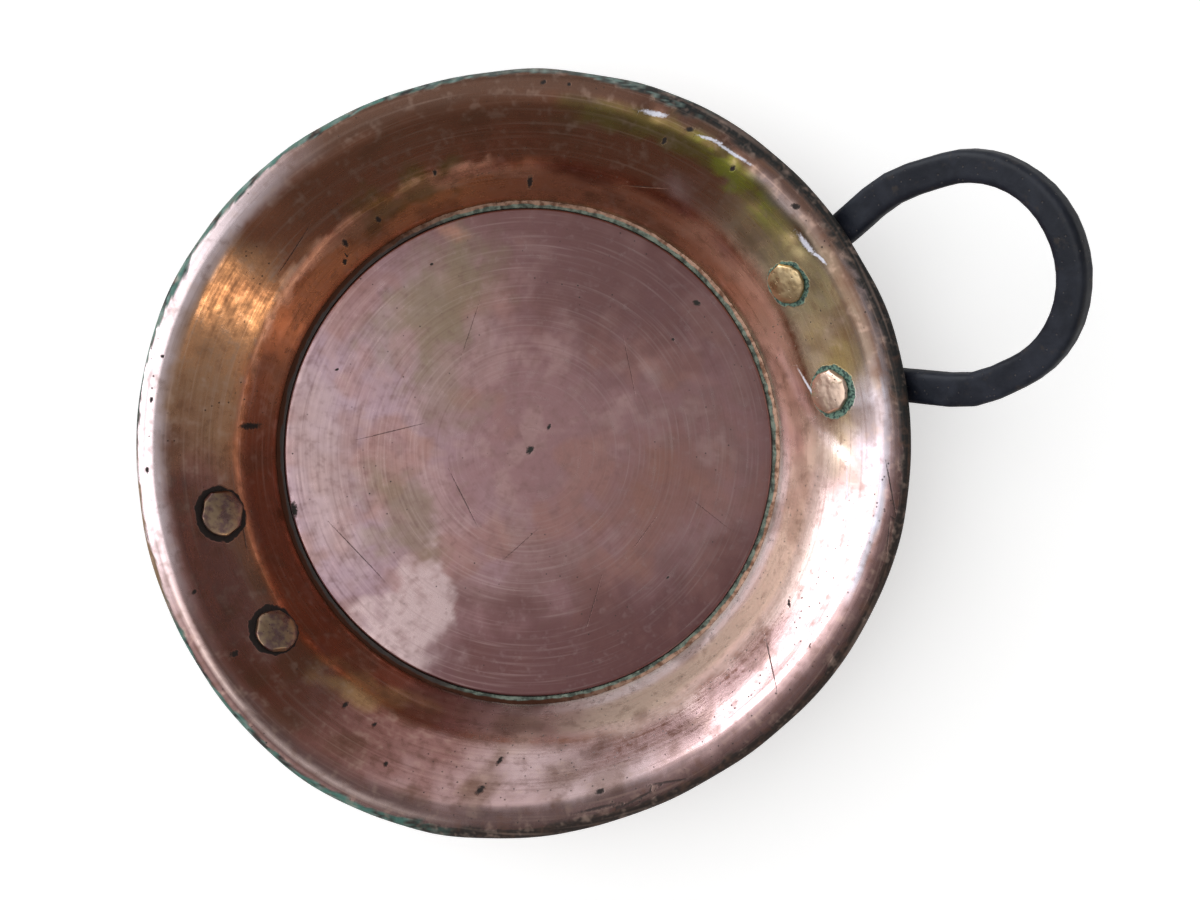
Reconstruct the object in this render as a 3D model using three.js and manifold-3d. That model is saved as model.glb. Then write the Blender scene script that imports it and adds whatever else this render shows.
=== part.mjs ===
// A shallow hand-made copper pan: a flared wall with a wired rim, a bottom disc let in from above,
// and a forged iron loop handle held by two copper rivets. Two more rivets on the far side still
// clamp what is left of a second handle.
// Millimetres, +Z up. The origin is on the pan's axis, in the plane that the pan stands on, and
// +X points to the loop handle.
import * as THREE from 'three';
import { mergeVertices } from 'three/addons/utils/BufferGeometryUtils.js';
import Module from 'manifold-3d';

const wasm = await Module();
wasm.setup();

const degrees = Math.PI / 180;
const tiny = 1e-4; // points closer than this are one

// --- Driving sizes ---------------------------------------------------------------------------

const clearance = 0.3; // gap between pieces that touch
const turnSteps = 72; // facets round the pan

// Wall, from the foot ring to the rolled rim
const sheet = 1.5; // thickness of the wall's copper
const rimDiameter = 340; // over the rolled rim
const panHeight = 54; // to the top of the rim
const coveBend = 4.5; // bend between the foot ring and the wall
const steepRun = 12.8; // the steep lower band: how far it reaches outward
const steepRise = 24.4; // and how high it climbs
const shoulderBend = 25; // bend between the steep band and the flared band
const neckInset = 12.8; // where the flare turns out into the lip, inward from the rim's outer edge
const neckDrop = 2; // and down from the rim's top
const neckBend = 8;

// Rolled rim
const wireDiameter = 5.5;
const rollPastBottom = 68; // how far the roll goes on round the wire past its lowest point

// Bottom disc
const discDiameter = 232.4;
const discThickness = 2.6;
const discLap = 11.2; // how far its edge laps over the turned-in foot of the wall
const discLapThinning = 0.6; // and how much thinner that edge is hammered, from below
const discEdgeRound = 1.4;

// The pan is out of round: its rim swells and flattens in slow waves that die out at the foot
const roundWaves = [
  { count: 2, swell: 2.2, peak: 9.5 },
  { count: 3, swell: 1.3, peak: -8 },
  { count: 4, swell: 0.95, peak: 44 },
];
const trueHeight = 8; // up to here the pan is round

// Rivets, each by its angle round the pan, its rise up the flared band from the shoulder and the
// diameter that its head was hammered out to
const rivets = {
  handleUpper: { angle: 10.75, rise: 12.5, head: 18.2 },
  handleLower: { angle: -10.75, rise: 12.5, head: 19.6 },
  stubUpper: { angle: 170, rise: 12, head: 20.8 },
  stubLower: { angle: 194.4, rise: 10, head: 19.8 },
};
const shankDiameter = 8.4;
// The edge of a rivet's end is a share of its height, and a fullness under 1 squares its shoulder
const headShape = { height: 2.6, edge: 0.35, fullness: 0.8 }; // inside the pan
const upsetDiameter = 14;
const upsetShape = { height: 2.8, edge: 0.25, fullness: 1 }; // over the iron

// Loop handle
const loopTilt = 48; // how steeply the loop rises
const loopRadius = 44.3; // along the middle of the bar
const loopReach = 47; // from where the legs pass the rim to the loop's centre
const loopSideShift = -2.6; // the loop was bent a little to one side
// Each leg's distance from the pan's middle line where it passes the rim, and how far outside the
// loop's circle it bends in to meet it
const upperLeg = { hand: 1, crossing: 39.1, outside: 3.7 };
const lowerLeg = { hand: -1, crossing: 36.8, outside: 1.7 };
const legBendReach = 28; // from where the legs pass the rim to that bend
const legBend = 60;
const legWidth = 14.8;
const legThickness = 8;
const bowWidth = 12.5; // at the far end of the loop
const bowThickness = 9.8;
const barCorner = 2.2; // worn edge of the bar
const cornerShare = 0.42; // of the bar's smaller side that this edge may take up

// Flattened ends of the legs
const padWidth = 18;
const padThickness = 5.5;
const padBelow = 8.6; // from the rivet to the rounded end
const padAbove = 10.5; // from the rivet to the first bend
const padTip = 0.25; // of the pad's width at the very end
const crankBend = 9; // the two bends that take the leg round the rolled rim
const crankDrop = 8; // from the rim crossing back down to the second bend
const drawnLength = 25; // over which the pad is drawn out into the bar

// What is left of the second handle
const stubLengths = { upper: 15, lower: 12 }; // from the rivet to the broken end
const tornThickness = 0.62; // shares of the pad's thickness and width at the break
const tornWidth = 0.75;

// How finely the curves are cut into facets
const bendStep = 14 * degrees;
const rollSteps = 9;
const wireSides = 8;
const edgeSteps = 4;
const cornerSteps = 2;
const crownSteps = 3;
const rivetSides = 16;
const loopSteps = 20;
const handleStep = 10;
const stubStep = 6;

// --- Sizes that follow -----------------------------------------------------------------------

const halfSheet = sheet / 2;
const wireRadius = wireDiameter / 2;
const rollCentreline = wireRadius + clearance + halfSheet;
const rollRadius = rollCentreline + halfSheet;
const rollCentre = new THREE.Vector2(rimDiameter / 2 - rollRadius, panHeight - rollRadius);
const discRadius = discDiameter / 2;
const footInside = discRadius - discLap;
const lapUnder = sheet + clearance;
const discUnder = lapUnder - discLapThinning;
const discTop = discUnder + discThickness;
const discEdgeBend = Math.min(discEdgeRound, discTop - lapUnder);
const shankRadius = shankDiameter / 2;

// --- Curves ----------------------------------------------------------------------------------

// Rounds the corners of a run of straight lines. Each corner is { at, bend }; the bend gives way
// where half of a line beside it is too short for it.
function rounded(corners) {
  const points = [corners[0].at.clone()];
  for (let i = 1; i < corners.length - 1; i++) {
    const corner = corners[i].at;
    const back = corners[i - 1].at.clone().sub(corner);
    const ahead = corners[i + 1].at.clone().sub(corner);
    const room = Math.min(back.length(), ahead.length()) / 2;
    back.normalize();
    ahead.normalize();
    const turn = Math.PI - back.angleTo(ahead);
    const tangent = Math.min((corners[i].bend ?? 0) * Math.tan(turn / 2), room);
    const radius = tangent / Math.tan(turn / 2);
    const start = corner.clone().addScaledVector(back, tangent);
    if (tangent < tiny) {
      points.push(corner.clone());
      continue;
    }
    const inward = back.clone().add(ahead).normalize();
    const centre = corner.clone().addScaledVector(inward, radius / Math.cos(turn / 2));
    const spoke = start.clone().sub(centre);
    const steps = Math.max(2, Math.ceil(turn / bendStep));
    for (let k = 0; k <= steps; k++) {
      const angle = (turn * k) / steps;
      const point = centre.clone().addScaledVector(spoke, Math.cos(angle));
      point.addScaledVector(back, -radius * Math.sin(angle));
      if (point.distanceTo(points[points.length - 1]) > tiny) points.push(point);
    }
  }
  points.push(corners[corners.length - 1].at.clone());
  return points;
}

// The line beside a run of points, on its left for a positive distance.
function beside(points, distance) {
  return points.map((point, i) => {
    const before = points[i - 1] ?? point.clone().multiplyScalar(2).sub(points[i + 1]);
    const after = points[i + 1] ?? point.clone().multiplyScalar(2).sub(points[i - 1]);
    const comingIn = point.clone().sub(before).normalize();
    const goingOut = after.clone().sub(point).normalize();
    const along = comingIn.clone().add(goingOut).normalize();
    const left = new THREE.Vector2(-along.y, along.x);
    return point.clone().addScaledVector(left, distance / along.dot(goingOut));
  });
}

// --- The wall's section, as the middle of its sheet: x outward from the axis, y up ------------

const steepLean = Math.atan2(steepRise, steepRun);
const coveCorner = new THREE.Vector2(
  discRadius + clearance + coveBend * Math.tan(steepLean / 2),
  halfSheet,
);
const shoulder = coveCorner.clone().add(new THREE.Vector2(steepRun, steepRise));
const neck = new THREE.Vector2(rimDiameter / 2 - neckInset, panHeight - neckDrop);
const flare = neck.clone().sub(shoulder).normalize();

// Where the sheet leaves its straight run and starts round the wire
const toRoll = rollCentre.clone().sub(neck);
const leanToRoll = Math.atan2(toRoll.y, toRoll.x) + Math.asin(rollCentreline / toRoll.length());
const rollStart = leanToRoll + Math.PI / 2;
const rollEnd = -Math.PI / 2 - rollPastBottom * degrees;

function onRoll(angle, radius) {
  const spoke = new THREE.Vector2(Math.cos(angle), Math.sin(angle));
  return rollCentre.clone().addScaledVector(spoke, radius);
}

function wallMiddle() {
  const middle = rounded([
    { at: new THREE.Vector2(footInside, halfSheet) },
    { at: coveCorner, bend: coveBend },
    { at: shoulder, bend: shoulderBend },
    { at: neck, bend: neckBend },
    { at: onRoll(rollStart, rollCentreline) },
  ]);
  for (let k = 1; k <= rollSteps; k++) {
    const angle = THREE.MathUtils.lerp(rollStart, rollEnd, k / rollSteps);
    middle.push(onRoll(angle, rollCentreline));
  }
  return middle;
}

// --- Solids ----------------------------------------------------------------------------------

// Revolves a closed outline round the pan's axis, or round a rivet's.
function turned(outline, steps) {
  const closed = outline.map((point) => point.clone());
  if (THREE.ShapeUtils.area(closed) < 0) closed.reverse();
  closed.push(closed[0].clone());
  return new THREE.LatheGeometry(closed, steps).rotateX(Math.PI / 2);
}

// Keeps only positions, with shared vertices merged.
function bare(geometry) {
  const plain = geometry.clone();
  plain.deleteAttribute('normal');
  plain.deleteAttribute('uv');
  return mergeVertices(plain, tiny);
}

function toSolid(geometry) {
  const merged = bare(geometry);
  const mesh = new wasm.Mesh({
    numProp: 3,
    vertProperties: new Float32Array(merged.attributes.position.array),
    triVerts: new Uint32Array(merged.index.array),
  });
  return new wasm.Manifold(mesh);
}

function drilled(geometry, drills) {
  const left = drills.reduce((body, drill) => body.subtract(toSolid(drill)), toSolid(geometry));
  const mesh = left.getMesh();
  const result = new THREE.BufferGeometry();
  result.setAttribute('position', new THREE.BufferAttribute(mesh.vertProperties, 3));
  result.setIndex(new THREE.BufferAttribute(mesh.triVerts, 1));
  return result;
}

// A bar forged through stations of { point, across, face, width, thickness }: across runs along
// the bar's width and face is the normal of its broad side.
function forged(stations) {
  const ring = 4 * (cornerSteps + 1);
  const positions = [];
  const index = [];
  for (const station of stations) {
    const least = Math.min(station.width, station.thickness);
    const corner = Math.min(barCorner, cornerShare * least);
    for (let k = 0; k < ring; k++) {
      const quarter = Math.floor(k / (cornerSteps + 1));
      const turn = quarter + (k % (cornerSteps + 1)) / cornerSteps;
      const angle = turn * 90 * degrees;
      const right = quarter === 0 || quarter === 3 ? 1 : -1;
      const up = quarter < 2 ? 1 : -1;
      const x = right * (station.width / 2 - corner) + corner * Math.cos(angle);
      const y = up * (station.thickness / 2 - corner) + corner * Math.sin(angle);
      const point = station.point.clone()
        .addScaledVector(station.across, x)
        .addScaledVector(station.face, y);
      positions.push(point.x, point.y, point.z);
    }
  }
  for (let i = 0; i < stations.length - 1; i++) {
    for (let k = 0; k < ring; k++) {
      const a = i * ring + k;
      const b = i * ring + ((k + 1) % ring);
      index.push(a, b, b + ring, a, b + ring, a + ring);
    }
  }
  const last = (stations.length - 1) * ring;
  for (let k = 1; k < ring - 1; k++) {
    index.push(0, k + 1, k, last, last + k, last + k + 1);
  }
  const geometry = new THREE.BufferGeometry();
  geometry.setAttribute('position', new THREE.Float32BufferAttribute(positions, 3));
  geometry.setIndex(index);
  return geometry;
}

// --- Out of round ----------------------------------------------------------------------------

function swell(point) {
  const azimuth = Math.atan2(point.y, point.x);
  const share = THREE.MathUtils.smoothstep(point.z, trueHeight, panHeight);
  return share * roundWaves.reduce(
    (sum, wave) => sum + wave.swell * Math.cos(wave.count * (azimuth - wave.peak * degrees)),
    0,
  );
}

function outOfRound(point) {
  const radius = Math.hypot(point.x, point.y);
  const scale = radius > 0 ? 1 + swell(point) / radius : 1;
  return new THREE.Vector3(point.x * scale, point.y * scale, point.z);
}

function warped(geometry) {
  const position = geometry.attributes.position;
  const point = new THREE.Vector3();
  for (let i = 0; i < position.count; i++) {
    const moved = outOfRound(point.fromBufferAttribute(position, i));
    position.setXYZ(i, moved.x, moved.y, moved.z);
  }
  return geometry;
}

// --- Places on the flared band ---------------------------------------------------------------

// A rivet's place in the middle of the sheet: out is the normal on the outside and up runs up the
// band.
function onBand({ angle, rise, head }) {
  const azimuth = angle * degrees;
  const middle = shoulder.clone().addScaledVector(flare, rise);
  const radial = new THREE.Vector3(Math.cos(azimuth), Math.sin(azimuth), 0);
  const vertical = new THREE.Vector3(0, 0, 1);
  const up = radial.clone().multiplyScalar(flare.x).addScaledVector(vertical, flare.y);
  const out = radial.clone().multiplyScalar(flare.y).addScaledVector(vertical, -flare.x);
  return {
    point: radial.clone().multiplyScalar(middle.x).addScaledVector(vertical, middle.y),
    out,
    up,
    hollow: flare.y / middle.x, // curvature of the band round the pan
    head,
  };
}

// Turns a solid that stands on its own z axis so that this axis runs along out.
function placing(place) {
  const turn = new THREE.Matrix4().makeBasis(
    new THREE.Vector3().crossVectors(place.up, place.out), place.up, place.out,
  );
  return new THREE.Quaternion().setFromRotationMatrix(turn);
}

// A drill for a rivet's hole: its flats clear the shank, and it passes the wall and the iron.
function drillAt(place) {
  const radius = (shankRadius + clearance) / Math.cos(Math.PI / rivetSides);
  const length = 4 * (sheet + padThickness);
  return new THREE.CylinderGeometry(radius, radius, length, rivetSides)
    .rotateX(Math.PI / 2)
    .applyQuaternion(placing(place))
    .translate(place.point.x, place.point.y, place.point.z);
}

// --- Pieces turned round the pan's axis --------------------------------------------------------

const rivetPlaces = {
  handleUpper: onBand(rivets.handleUpper),
  handleLower: onBand(rivets.handleLower),
  stubUpper: onBand(rivets.stubUpper),
  stubLower: onBand(rivets.stubLower),
};

function panWall() {
  const middle = wallMiddle();
  const outline = [...beside(middle, halfSheet), ...beside(middle, -halfSheet).reverse()];
  const holes = Object.values(rivetPlaces).map(drillAt);
  return warped(drilled(turned(outline, turnSteps), holes));
}

function rimWire() {
  const outline = [];
  for (let k = 0; k < wireSides; k++) {
    outline.push(onRoll((2 * Math.PI * k) / wireSides, wireRadius));
  }
  return warped(bare(turned(outline, turnSteps)));
}

// The disc drops a little way into the foot ring, and its thinner edge laps over the ring.
function bottomDisc() {
  const outline = [
    new THREE.Vector2(0, discUnder),
    new THREE.Vector2(footInside - clearance, discUnder),
    new THREE.Vector2(footInside - clearance, lapUnder),
    new THREE.Vector2(discRadius, lapUnder),
  ];
  for (let k = 0; k <= edgeSteps; k++) {
    const angle = (90 * degrees * k) / edgeSteps;
    outline.push(new THREE.Vector2(
      discRadius - discEdgeBend * (1 - Math.cos(angle)),
      discTop - discEdgeBend * (1 - Math.sin(angle)),
    ));
  }
  outline.push(new THREE.Vector2(0, discTop));
  return bare(turned(outline, turnSteps));
}

// Solder run into the groove between the disc's edge and the foot of the wall
function bottomSeam() {
  const groove = beside(wallMiddle(), halfSheet + clearance)
    .filter((point) => point.x > discRadius + clearance && point.y < discTop);
  const outline = [
    new THREE.Vector2(discRadius + clearance, lapUnder),
    ...groove,
    new THREE.Vector2(discRadius + clearance, discTop - discEdgeBend / 2),
  ];
  return bare(turned(outline, turnSteps));
}

// --- Rivets ----------------------------------------------------------------------------------

// One end of a rivet in section, from its crown to its edge: x is the radius, y the height.
function crown(diameter, { height, edge, fullness }) {
  const points = [];
  for (let k = 0; k <= crownSteps; k++) {
    const angle = (90 * degrees * k) / crownSteps;
    points.push(new THREE.Vector2(
      (diameter / 2) * Math.sin(angle) ** fullness,
      height * (edge + (1 - edge) * Math.cos(angle)),
    ));
  }
  return points;
}

// A head's flat underside spans the hollow of the band that it sits in.
function rivet(place) {
  const bridged = (place.hollow * place.head ** 2) / 8;
  const headUnder = -(halfSheet + clearance + bridged);
  const upsetUnder = halfSheet + 2 * clearance + padThickness;
  const outline = [
    ...crown(place.head, headShape).map((point) => new THREE.Vector2(point.x, headUnder - point.y)),
    new THREE.Vector2(place.head / 2, headUnder),
    new THREE.Vector2(shankRadius, headUnder),
    new THREE.Vector2(shankRadius, upsetUnder),
    new THREE.Vector2(upsetDiameter / 2, upsetUnder),
    ...crown(upsetDiameter, upsetShape)
      .map((point) => new THREE.Vector2(point.x, upsetUnder + point.y)).reverse(),
  ];
  return bare(turned(outline, rivetSides));
}

// --- Forged iron -----------------------------------------------------------------------------

function padCentre(place) {
  const away = halfSheet + clearance + padThickness / 2;
  return place.point.clone().addScaledVector(place.out, away);
}

// The loop lies in a plane that rises away from the pan. Where the legs pass the rim, their
// upper face just clears the roll.
const tilt = loopTilt * degrees;
const loopOut = new THREE.Vector3(Math.cos(tilt), 0, Math.sin(tilt));
const loopFace = new THREE.Vector3(Math.sin(tilt), 0, -Math.cos(tilt));
const innerCorner = Math.min(upperLeg.crossing, lowerLeg.crossing) - legWidth / 2;
const rollAtLeg = Math.sqrt(rollCentre.x ** 2 - innerCorner ** 2);
const crossingMiddle = new THREE.Vector3(rollAtLeg, 0, rollCentre.y)
  .addScaledVector(loopFace, rollRadius + clearance + legThickness / 2);

function inLoop(out, side) {
  return crossingMiddle.clone().addScaledVector(loopOut, out).add(new THREE.Vector3(0, side, 0));
}

// How far a leg's bend into the loop stands from the pan's middle line
function bendSide(leg) {
  return loopRadius + leg.hand * loopSideShift + leg.outside;
}

// One leg, from its rounded end to where it turns into the loop
function legCorners(place, leg) {
  const rivetPoint = padCentre(place);
  const splay = (bendSide(leg) - leg.crossing) / legBendReach;
  const secondBend = inLoop(-crankDrop, leg.hand * (leg.crossing - splay * crankDrop));
  const along = secondBend.clone().sub(rivetPoint);
  along.addScaledVector(place.out, -along.dot(place.out)).normalize();
  return [
    { at: rivetPoint.clone().addScaledVector(along, -padBelow) },
    { at: rivetPoint.clone().addScaledVector(along, padAbove), bend: crankBend },
    { at: secondBend, bend: crankBend },
    { at: inLoop(legBendReach, leg.hand * bendSide(leg)), bend: legBend },
  ];
}

// Where the straight line from a leg's bend touches the loop's circle, as an angle round it
function touchAngle(leg) {
  const back = legBendReach - loopReach;
  const side = loopRadius + leg.outside;
  return Math.atan2(side, back) - Math.acos(loopRadius / Math.hypot(back, side));
}

function loopPoints() {
  const first = touchAngle(upperLeg);
  const last = -touchAngle(lowerLeg);
  const points = [];
  for (let k = 0; k <= loopSteps; k++) {
    const angle = THREE.MathUtils.lerp(first, last, k / loopSteps);
    points.push(inLoop(
      loopReach + loopRadius * Math.cos(angle),
      loopSideShift + loopRadius * Math.sin(angle),
    ));
  }
  return points;
}

// Width of a rounded end, as a share of the full width, at a distance from its tip
function endShare(distance) {
  const inside = Math.max(0, 1 - distance / (padWidth / 2));
  return Math.sqrt(1 - (1 - padTip ** 2) * inside ** 2);
}

const tipShares = [0, 0.06, 0.22, 0.5, 1]; // where a rounded end gets its sections

// Sections along a path: at its corners, close together on its rounded ends, and elsewhere no
// further apart than the spacing. Each gets its distance from the start.
function sections(path, spacing, roundedEnds) {
  const least = 1;
  const travelled = [0];
  for (let i = 1; i < path.length; i++) {
    travelled.push(travelled[i - 1] + path[i].distanceTo(path[i - 1]));
  }
  const whole = travelled[travelled.length - 1];
  const tips = tipShares.map((share) => (share * padWidth) / 2);
  const farTips = roundedEnds === 2 ? tips.map((distance) => whole - distance).reverse() : [whole];
  const from = tips[tips.length - 1] + least;
  const to = farTips[0] - least;
  const corners = travelled.filter((distance) => distance > from && distance < to);
  const wanted = [...tips, ...corners, ...farTips];
  const distances = [0];
  for (let i = 1; i < wanted.length; i++) {
    const steps = Math.ceil((wanted[i] - wanted[i - 1]) / spacing);
    for (let k = 1; k <= steps; k++) {
      distances.push(THREE.MathUtils.lerp(wanted[i - 1], wanted[i], k / steps));
    }
  }
  const points = distances.map((distance) => {
    const next = Math.max(1, travelled.findIndex((reached) => reached >= distance - 1e-9));
    const share = (distance - travelled[next - 1]) / (travelled[next] - travelled[next - 1]);
    return path[next - 1].clone().lerp(path[next], share);
  });
  return points.map((point, i) => {
    const before = points[Math.max(i - 1, 0)];
    const after = points[Math.min(i + 1, points.length - 1)];
    const tangent = after.clone().sub(before).normalize();
    return { point, tangent, distance: distances[i], toEnd: whole - distances[i] };
  });
}

// Turns a section into a station of the forged bar, with its broad side square to the path.
function station(section, face, width, thickness) {
  const square = face.clone().addScaledVector(section.tangent, -face.dot(section.tangent));
  square.normalize();
  const across = new THREE.Vector3().crossVectors(square, section.tangent);
  return { point: section.point, face: square, across, width, thickness };
}

function loopHandle() {
  const { handleUpper, handleLower } = rivetPlaces;
  const loop = loopPoints();
  const legPath = (place, leg, join) => rounded(
    [...legCorners(place, leg), { at: join }],
  ).slice(0, -1);
  const path = [
    ...legPath(handleUpper, upperLeg, loop[0]),
    ...loop,
    ...legPath(handleLower, lowerLeg, loop[loop.length - 1]).reverse(),
  ];

  const flatEnd = padBelow + upsetDiameter / 2; // from here the pad is drawn out
  const drawnEnd = flatEnd + drawnLength;
  const stations = sections(path, handleStep, 2).map((section) => {
    const fromEnd = Math.min(section.distance, section.toEnd);
    const half = (section.distance + section.toEnd) / 2;
    const place = section.distance < half ? handleUpper : handleLower;
    const drawn = THREE.MathUtils.smoothstep(fromEnd, flatEnd, drawnEnd);
    const slimmed = THREE.MathUtils.smoothstep(fromEnd, drawnEnd, half);
    const width = THREE.MathUtils.lerp(padWidth, legWidth, drawn)
      + (bowWidth - legWidth) * slimmed;
    const thickness = THREE.MathUtils.lerp(padThickness, legThickness, drawn)
      + (bowThickness - legThickness) * slimmed;
    const face = place.out.clone().lerp(loopFace, drawn).normalize();
    return station(section, face, width * endShare(fromEnd), thickness);
  });
  return warped(drilled(forged(stations), [handleUpper, handleLower].map(drillAt)));
}

// A leg of the lost handle: the same flattened end, thinned and torn off above its rivet
function handleStub(place, length) {
  const middle = padCentre(place);
  const path = [
    middle.clone().addScaledVector(place.up, -padBelow),
    middle.clone().addScaledVector(place.up, length),
  ];
  const stations = sections(path, stubStep, 1).map((section) => {
    const whole = THREE.MathUtils.smoothstep(section.toEnd, 0, length - upsetDiameter / 2);
    const width = padWidth * endShare(section.distance) * THREE.MathUtils.lerp(tornWidth, 1, whole);
    const thickness = padThickness * THREE.MathUtils.lerp(tornThickness, 1, whole);
    return station(section, place.out, width, thickness);
  });
  return warped(drilled(forged(stations), [drillAt(place)]));
}

// --- Assembly --------------------------------------------------------------------------------

const wallCopper = { color: 0xa8714f, roughness: 0.34, metalness: 1 };
const discCopper = { color: 0xa97a72, roughness: 0.42, metalness: 1 };
const rivetCopper = { color: 0xb08c62, roughness: 0.4, metalness: 1 };
const solder = { color: 0x6f8a74, roughness: 0.85, metalness: 0.2 };
const wireIron = { color: 0x4a4038, roughness: 0.7, metalness: 0.8 };
const handleIron = { color: 0x26282f, roughness: 0.55, metalness: 0.8 };

function piece(name, geometry, look) {
  geometry.computeVertexNormals();
  const mesh = new THREE.Mesh(geometry, new THREE.MeshStandardMaterial(look));
  mesh.name = name;
  return mesh;
}

// A rivet stands where its place on the band ends up in the out-of-round pan.
function setRivet(name, place) {
  const mesh = piece(name, rivet(place), rivetCopper);
  mesh.position.copy(outOfRound(place.point));
  mesh.quaternion.copy(placing(place));
  return mesh;
}

const pan = new THREE.Group();
pan.name = 'copper_pan';
pan.add(
  piece('pan_wall', panWall(), wallCopper),
  piece('bottom_disc', bottomDisc(), discCopper),
  piece('bottom_seam', bottomSeam(), solder),
  piece('rim_wire', rimWire(), wireIron),
);

const handle = new THREE.Group();
handle.name = 'handle';
handle.add(
  piece('loop_handle', loopHandle(), handleIron),
  setRivet('handle_rivet_upper', rivetPlaces.handleUpper),
  setRivet('handle_rivet_lower', rivetPlaces.handleLower),
);

const lostHandle = new THREE.Group();
lostHandle.name = 'lost_handle';
lostHandle.add(
  piece('handle_stub_upper', handleStub(rivetPlaces.stubUpper, stubLengths.upper), handleIron),
  piece('handle_stub_lower', handleStub(rivetPlaces.stubLower, stubLengths.lower), handleIron),
  setRivet('stub_rivet_upper', rivetPlaces.stubUpper),
  setRivet('stub_rivet_lower', rivetPlaces.stubLower),
);

pan.add(handle, lostHandle);

export default pan;
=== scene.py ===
# %% [markdown]
# # A hand-made copper pan, piece by piece
# The real pan was beaten from two sheets of copper: a wall that is rolled round an iron wire at
# the rim, and a bottom disc let in from above. A forged iron loop is riveted to it. Every piece
# here is modelled as its own object, over a frame that already has the true sizes, so that each
# surface can carry its own hammer marks, scratches and tarnish.

# %% Load the fixed frame
import math
import random
import bpy
import numpy as np
from mathutils import Euler, Matrix, Vector, noise


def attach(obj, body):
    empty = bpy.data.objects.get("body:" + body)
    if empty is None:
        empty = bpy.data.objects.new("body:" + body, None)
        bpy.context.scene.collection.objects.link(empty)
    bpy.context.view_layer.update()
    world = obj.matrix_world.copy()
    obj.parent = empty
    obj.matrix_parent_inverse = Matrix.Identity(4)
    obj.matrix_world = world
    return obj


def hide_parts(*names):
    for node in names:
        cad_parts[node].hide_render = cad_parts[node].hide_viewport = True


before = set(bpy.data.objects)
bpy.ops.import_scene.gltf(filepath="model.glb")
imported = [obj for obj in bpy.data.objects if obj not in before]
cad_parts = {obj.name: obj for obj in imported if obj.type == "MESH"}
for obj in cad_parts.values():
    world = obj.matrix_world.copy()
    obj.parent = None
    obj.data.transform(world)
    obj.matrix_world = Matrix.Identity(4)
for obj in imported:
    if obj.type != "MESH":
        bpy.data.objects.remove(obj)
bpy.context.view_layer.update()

MM = 0.001
print("frame nodes:", sorted(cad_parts))

# %% [markdown]
# ## Camera
# The pan is seen from almost straight above, from about arm's length. The lens is assumed, and
# with it the camera's place comes from the outline of the rim and the shift of the bottom disc
# inside it: the further off centre the disc looks, the closer the camera stands. The view is
# turned, so that the handle, which points along +X, comes out at the upper right.

# %% Camera
PICTURE_WIDTH = 1200
FOCAL_PIXELS = 1280
CAMERA_PLACE = Vector((35.3, -22.1, 611.6))  # in mm
TURN = 21.68  # degrees that the picture is turned against the pan
LEAN_X, LEAN_Y = 0.78, 0.62  # degrees that the camera looks past straight down

camera_data = bpy.data.cameras.new("overhead_camera")
camera_data.sensor_fit = "HORIZONTAL"
camera_data.sensor_width = 36.0
camera_data.lens = camera_data.sensor_width * FOCAL_PIXELS / PICTURE_WIDTH
camera = bpy.data.objects.new("overhead_camera", camera_data)
bpy.context.scene.collection.objects.link(camera)
camera.location = CAMERA_PLACE * MM
camera.rotation_euler = [math.radians(a) for a in (LEAN_X, LEAN_Y, -TURN)]
bpy.context.scene.camera = camera
print("lens", round(camera_data.lens, 2), "mm")

# %% [markdown]
# ## Working by hand, in code
# Modelling here goes the way it would with a mouse: add a primitive, go into edit mode, extrude,
# spin or bisect, then apply modifiers. An operator works on whatever is selected, so each step
# starts by clearing the selection that the last one left.

# %% Small helpers for edit mode
def clear():
    if bpy.context.object and bpy.context.object.mode != "OBJECT":
        bpy.ops.object.mode_set(mode="OBJECT")
    bpy.ops.object.select_all(action="DESELECT")


def take(piece):
    """Makes piece the only selected object, and the active one."""
    clear()
    piece.select_set(True)
    bpy.context.view_layer.objects.active = piece
    return piece


def edit(piece):
    take(piece)
    bpy.ops.object.mode_set(mode="EDIT")
    bpy.ops.mesh.select_mode(type="VERT")
    bpy.ops.mesh.select_all(action="SELECT")


def done():
    bpy.ops.object.mode_set(mode="OBJECT")
    return bpy.context.object


def apply(piece, kind, **settings):
    """Adds one modifier with these settings and applies it."""
    take(piece)
    modifier = piece.modifiers.new(kind.lower(), kind)
    for name, value in settings.items():
        setattr(modifier, name, value)
    bpy.ops.object.modifier_apply(modifier=modifier.name)


# %% [markdown]
# ## The wall's section
# A coppersmith would cut a template of this line and beat the sheet to it: the foot turned in
# flat under the disc, a steep band, a flatter flare, a nearly level lip, and the roll round the
# wire. The same few sizes as in the frame give the corners, and an arc rounds each corner, a
# little more softly than the frame's facets do.

# %% Sizes of the wall, in millimetres
SHEET = 1.5
WIRE_GAP = 0.3
RIM_RADIUS, PAN_HEIGHT = 170.0, 54.0
ROLL_RADIUS = 5.5 / 2 + WIRE_GAP + SHEET
ROLL_MIDDLE = ROLL_RADIUS - SHEET / 2
roll_centre = Vector((RIM_RADIUS - ROLL_RADIUS, PAN_HEIGHT - ROLL_RADIUS))
ROLL_ON = 68  # degrees that the sheet curls on past the lowest place of the roll
DISC_RADIUS, DISC_LAP = 116.2, 11.2
foot_inside = DISC_RADIUS - DISC_LAP
STEEP_RUN, STEEP_RISE = 12.8, 24.4
NECK_INSET, NECK_DROP = 12.8, 2.0
COVE_BEND, SHOULDER_BEND, NECK_BEND = 4.5, 38.0, 12.0
cove_reach = COVE_BEND * math.tan(math.atan2(STEEP_RISE, STEEP_RUN) / 2)
cove = Vector((DISC_RADIUS + WIRE_GAP + cove_reach, SHEET / 2))
shoulder = cove + Vector((STEEP_RUN, STEEP_RISE))
neck = Vector((RIM_RADIUS - NECK_INSET, PAN_HEIGHT - NECK_DROP))
flare = (neck - shoulder).normalized()


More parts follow.
